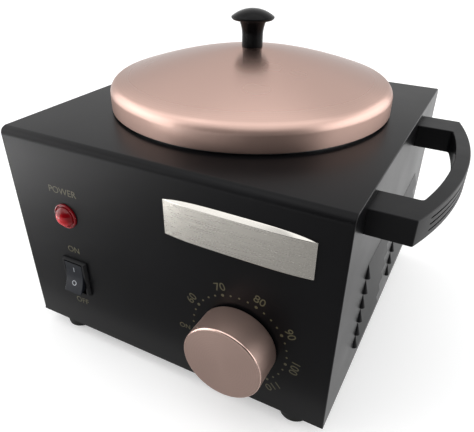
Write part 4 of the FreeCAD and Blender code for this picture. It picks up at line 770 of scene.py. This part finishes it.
inner_half = HALF - LEG
inner_bow = REACH + BOW - GRIP - INNER_REACH
outer_ball = (HALF ** 2 + BOW ** 2) / (2 * BOW)
inner_ball = (inner_half ** 2 + inner_bow ** 2) / (2 * inner_bow)
outer_centre = REACH + BOW - outer_ball
inner_centre = INNER_REACH + inner_bow - inner_ball
outer_turn = 2 * math.degrees(math.asin(HALF / outer_ball))
inner_turn = 2 * math.degrees(math.asin(inner_half / inner_ball))
shape = draw((0, -HALF), (REACH, -HALF), (outer_centre, 0, -outer_turn, 36), (0, HALF), (0, inner_half),
             (INNER_REACH, inner_half), (inner_centre, 0, inner_turn, 30), (0, -inner_half), (0, -HALF))
soften(shape, (REACH, -HALF, EDGE_ROUND), (REACH, HALF, EDGE_ROUND),
       (INNER_REACH, inner_half, CROOK_ROUND), (INNER_REACH, -inner_half, CROOK_ROUND))
bmesh.ops.contextual_create(shape, geom=shape.edges[:])
shape.transform(Matrix.Rotation(-math.pi / 2, 4, "X"))
pull(shape, shape.faces[:], (0, 0, TALL * MM))
bmesh.ops.recalc_face_normals(shape, faces=shape.faces[:])
long_edges = [edge for edge in shape.edges if abs(edge.verts[0].co.z - edge.verts[1].co.z) < NEAR
              and max(vert.co.x for vert in edge.verts) > NEAR]
round_edges(shape, long_edges, EDGE_ROUND, segments=4)
print("handle outline bevelled into", len(shape.faces), "faces")

# %% Finger grooves
GROOVE_STEP, GROOVE_WIDTH, GROOVE_DEPTH, GROOVE_END = 3.6, 1.0, 0.7, 62.0
HANDLE_PLACE = (115 * MM, -20 * MM, 142 * MM)
bow_centre = Vector((outer_centre * MM, 0, 0))


def outer_wall():
    """The upright faces of the bow's outer side."""
    return [face for face in shape.faces if abs(face.normal.z) < 0.01 and face.normal.x > 0.8
            and abs((face.calc_center_median() - bow_centre).to_2d().length - outer_ball * MM) < 0.1 * MM]


levels = [TALL / 2 + row * GROOVE_STEP for row in (-1, 0, 1)]
cuts = [((0, 0, level + side * GROOVE_WIDTH / 2), (0, 0, 1)) for level in levels for side in (-1, 1)]
cuts += [((0, end, 0), (0, 1, 0)) for end in (-GROOVE_END, GROOVE_END)]
for place, normal in cuts:
    wall = outer_wall()
    around = {item for face in wall for item in (*face.verts, *face.edges)}
    bmesh.ops.bisect_plane(shape, geom=wall + list(around), plane_co=Vector(place) * MM, plane_no=normal,
                           dist=0.001 * MM)
grooves = [face for face in outer_wall() if abs(face.calc_center_median().y) < GROOVE_END * MM
           and any(abs(face.calc_center_median().z - level * MM) < GROOVE_WIDTH / 2 * MM for level in levels)]
pushed = bmesh.ops.extrude_face_region(shape, geom=grooves)
keep = (outer_ball - GROOVE_DEPTH) / outer_ball
bmesh.ops.scale(shape, vec=(keep, keep, 1), space=Matrix.Translation(-bow_centre),
                verts=points(pushed["geom"]))
bmesh.ops.delete(shape, geom=[face for face in grooves if face.is_valid], context="FACES_ONLY")
bmesh.ops.recalc_face_normals(shape, faces=shape.faces[:])
shape.transform(Matrix.Translation(HANDLE_PLACE))
finish_piece("moulded_handle", shape, [finishes["black_plastic"]], "housing", "black_plastic", "carry_handle")

# %% [markdown]
# ## Bright plate
# A cast nickel plate is clipped to the front by two studs. It is left bare. Its brushed front bows out from
# both ends to the middle, and a polished facet falls back from its top edge to the panel. A plain grid has
# enough points for that: its rows are pushed out and up by how near they are to the middle. Walls then join
# its open edge to the panel. They are added one by one, because the round at the ends depends on their order.

# %% Plate
PLATE_WIDE, PLATE_HIGH, PLATE_END, PLATE_BOW, PLATE_RISE, FACET_END = 90.4, 22.5, 0.9, 2.0, 2.4, 0.6
shape = bmesh.new()
bmesh.ops.create_grid(shape, x_segments=28, y_segments=2, size=0.5)
for vert in shape.verts:
    swell = 1 - (2 * vert.co.x) ** 4
    top_row, front = vert.co.y > 0.4, PLATE_END + PLATE_BOW * swell
    vert.co = Vector((vert.co.x * PLATE_WIDE, PLATE_HIGH / 2 * (-1 if vert.co.y < -0.4 else 1), front)) * MM
    if top_row:
        vert.co.y, vert.co.z = vert.co.y + PLATE_RISE * swell * MM, FACET_END * MM
for face in shape.faces:
    face.material_index = 1 if face.calc_center_median().y < PLATE_HIGH / 4 * MM else 0
print("plate bows out by", PLATE_BOW, "mm over", len(shape.faces), "faces")

# %% Plate sides
PLATE_X, PLATE_Z, PLATE_ROUND = 53.8, 132.6, 0.3
rim = [edge for edge in shape.edges if edge.is_boundary]
outline = [vert for vert in shape.verts if vert.is_boundary]
on_sheet = {vert: shape.verts.new((vert.co.x, vert.co.y, 0)) for vert in outline}
for start, end in (edge.verts for edge in rim):
    shape.faces.new((start, end, on_sheet[end], on_sheet[start]))
bmesh.ops.holes_fill(shape, edges=[edge for edge in shape.edges if edge.is_boundary])
bmesh.ops.recalc_face_normals(shape, faces=shape.faces[:])
creases = [edge for edge in shape.edges if edge.is_manifold and edge.calc_face_angle() > math.radians(20)
           and max(vert.co.z for vert in edge.verts) > PLATE_ROUND * MM]
round_edges(shape, creases, PLATE_ROUND)
shape.transform(on_panel(PLATE_X, PLATE_Z))
finish_piece("bare_plate", shape, [finishes["bright_plate"], brushed_nickel], "housing", "bright_plate",
             "nameplate", crease=35)

# %% [markdown]
# ## Rocker switch
# The switch snaps into the panel from the front. Its frame slopes back all round and holds a deep pocket, and
# the rocker tips in the pocket on two stub pivots. The rocker's face is hollowed so that a finger finds its
# ends, which is one arc in the outline.

# %% Switch frame
FRAME_WIDE, FRAME_HIGH, FRAME_STEP, FRAME_SLOPE, SLOPE_TALL = 20.7, 27.6, 0.8, 1.0, 2.0
SWITCH_Z, MOUTH_EDGE, MOUTH_WIDE, POCKET = 61.0, 0.115, 15.8, 13.8
BOX_STEP, BOX_HIGH, BOX_DEEP = 0.75, 25.6, 25.2


def facing(shape, side):
    """The furthest face of a block that points to the front, or with a side of -1 to the back."""
    shape.normal_update()
    return max(shape.faces, key=lambda face: (round(side * face.normal.z, 3),
                                              side * face.calc_center_median().z))


def sink(shape, face, depth):
    """Draws a face back by a depth in millimetres and leaves its old place open."""
    pull(shape, [face], (0, 0, -depth * MM))
    if face.is_valid:
        bmesh.ops.delete(shape, geom=[face], context="FACES_ONLY")


shape = bmesh.new()
bmesh.ops.create_cube(shape, size=1, matrix=Matrix.Translation((0, 0, FRAME_STEP / 2 * MM))
                      @ Matrix.Diagonal((FRAME_WIDE * MM, FRAME_HIGH * MM, FRAME_STEP * MM, 1)))
bmesh.ops.inset_region(shape, faces=[facing(shape, 1)], thickness=FRAME_SLOPE * MM, depth=SLOPE_TALL * MM,
                       use_even_offset=True)
mouth = facing(shape, 1)
bmesh.ops.inset_region(shape, faces=[mouth], thickness=MOUTH_EDGE * MM, depth=0, use_even_offset=True)
mouth_was = FRAME_WIDE - 2 * (FRAME_SLOPE + MOUTH_EDGE)
bmesh.ops.scale(shape, vec=(MOUTH_WIDE / mouth_was, 1, 1), verts=mouth.verts[:])
sink(shape, mouth, POCKET)
back = facing(shape, -1)
bmesh.ops.inset_region(shape, faces=[back], thickness=BOX_STEP * MM, depth=0, use_even_offset=True)
bmesh.ops.scale(shape, vec=(1, BOX_HIGH / (FRAME_HIGH - 2 * BOX_STEP), 1), verts=back.verts[:])
sink(shape, back, BOX_DEEP)
bmesh.ops.recalc_face_normals(shape, faces=shape.faces[:])
shape.transform(on_panel(SWITCH_X, SWITCH_Z))
finish_piece("switch_frame", shape, [finishes["gloss_plastic"]], "housing", "gloss_plastic", "switch_body")

# %% Rocker
ROCKER_END, ROCKER_MIDDLE, ROCKER_HALF, ROCKER_WIDE, ROCKER_ROUND = 4.6, 2.6, 11.5, 15.2, 0.45
HEEL, HEEL_HALF, PIVOT_OUT, TIPPED = 5.5, 4.0, 1.0, -12.0
hollow = (ROCKER_HALF ** 2 + (ROCKER_END - ROCKER_MIDDLE) ** 2) / (2 * (ROCKER_END - ROCKER_MIDDLE))
hollow_turn = 2 * math.degrees(math.asin(ROCKER_HALF / hollow))
PIVOT = (Matrix.Translation(on_panel(SWITCH_X, SWITCH_Z, PIVOT_OUT).translation)
         @ Matrix.Rotation(math.radians(TIPPED), 4, "X"))
shape = draw((-ROCKER_END, -ROCKER_HALF), (HEEL, -HEEL_HALF), (HEEL, HEEL_HALF), (-ROCKER_END, ROCKER_HALF),
             (-ROCKER_MIDDLE - hollow, 0, hollow_turn, 12))
bmesh.ops.contextual_create(shape, geom=shape.edges[:])
shape.transform(Matrix.Rotation(math.pi / 2, 4, "Z"))
shape.transform(Matrix.Translation((-ROCKER_WIDE / 2 * MM, 0, 0)))
pull(shape, shape.faces[:], (ROCKER_WIDE * MM, 0, 0))
bmesh.ops.recalc_face_normals(shape, faces=shape.faces[:])
sharp = [edge for edge in shape.edges if edge.is_manifold and edge.calc_face_angle() > math.radians(25)]
round_edges(shape, sharp, ROCKER_ROUND)
shape.transform(PIVOT)
finish_piece("rocker", shape, [slate_nylon], "rocker", "gloss_plastic", "switch_rocker")

# %% [markdown]
# ## Printing
# The scale round the dial and the words by the lamp and the switch are screen-printed. Letters start as a
# text curve with a little thickness, because that gives their outlines for nothing, and are made meshes and
# turned into place. The dots are small discs. Everything stands a few hundredths of a millimetre proud.

# %% Lettering helpers
INK, CAPITALS = 0.06, 0.69  # the ink's thickness, and the share of a font's size that its capitals take


def letter(shape, words, height, matrix):
    """Adds words to a shape, centred on the matrix's origin, with capitals of a height in millimetres."""
    curve = bpy.data.curves.new("words", "FONT")
    curve.body = words
    curve.size = height / CAPITALS * MM
    curve.extrude = INK / 2 * MM
    holder = bpy.data.objects.new("words", curve)
    mesh = bpy.data.meshes.new_from_object(holder)
    low = Vector([min(vert.co[axis] for vert in mesh.vertices) for axis in range(3)])
    high = Vector([max(vert.co[axis] for vert in mesh.vertices) for axis in range(3)])
    spot = (low + high) / 2
    mesh.transform(matrix @ Matrix.Translation((-spot.x, -spot.y, -low.z)))
    shape.from_mesh(mesh)
    bpy.data.meshes.remove(mesh)
    bpy.data.objects.remove(holder)
    bpy.data.curves.remove(curve)


print("ink stands", INK, "mm proud")

# %% Words and scale
WORD_TALL, NUMBER_TALL, START_TALL = 4.6, 5.3, 3.6
SCALE_X, SCALE_Z, DOT_RING, LABEL_RING, START_OUT, FIRST_DOT = 56.5, 60.0, 31.6, 37.5, 1.5, 189.7
DOTS, DOT_STEP, DOTS_PER_LABEL, DOT, LABEL_DOT = 25, 10.0, 4, 0.65, 1.0


def on_scale(number, ring, out=0, turn=0):
    """The place of a dot's number on a ring round the dial."""
    angle = math.radians(FIRST_DOT - DOT_STEP * number)
    return on_panel(SCALE_X + ring * math.cos(angle), SCALE_Z + ring * math.sin(angle), out, turn)


shape = bmesh.new()
for words, across, up in (("POWER", -69.8, 127.5), ("ON", -70, 83), ("OFF", -71.2, 37.7)):
    letter(shape, words, WORD_TALL, on_panel(across, up))
for number in range(DOTS):
    radius = (DOT if number % DOTS_PER_LABEL else LABEL_DOT) * MM
    bmesh.ops.create_cone(shape, cap_ends=True, segments=20, radius1=radius, radius2=radius, depth=INK * MM,
                          matrix=on_scale(number, DOT_RING, INK / 2))
letter(shape, "ON", START_TALL, on_scale(0, LABEL_RING + START_OUT))
for number, words in enumerate(("60", "70", "80", "90", "100", "110"), start=1):
    dot = DOTS_PER_LABEL * number
    letter(shape, words, NUMBER_TALL, on_scale(dot, LABEL_RING, turn=FIRST_DOT - DOT_STEP * dot - 90))
finish_piece("panel_print", shape, [yellow_ink], "housing", "black_paint")

# %% Marks of the rocker
MARK_TALL, MARK_PROUD = 3.6, 0.03
shape = bmesh.new()
face = PIVOT @ Matrix.Translation((0, -ROCKER_MIDDLE * MM, 0)) @ FACING_FRONT
for words, up in (("I", 6.0), ("O", -4.4)):
    rise = hollow - math.sqrt(hollow ** 2 - up ** 2) + MARK_PROUD
    letter(shape, words, MARK_TALL, face @ Matrix.Translation((0, up * MM, rise * MM))
           @ Matrix.Rotation(math.asin(up / hollow), 4, "X"))
finish_piece("rocker_marks", shape, [white_ink], "rocker", "gloss_plastic")
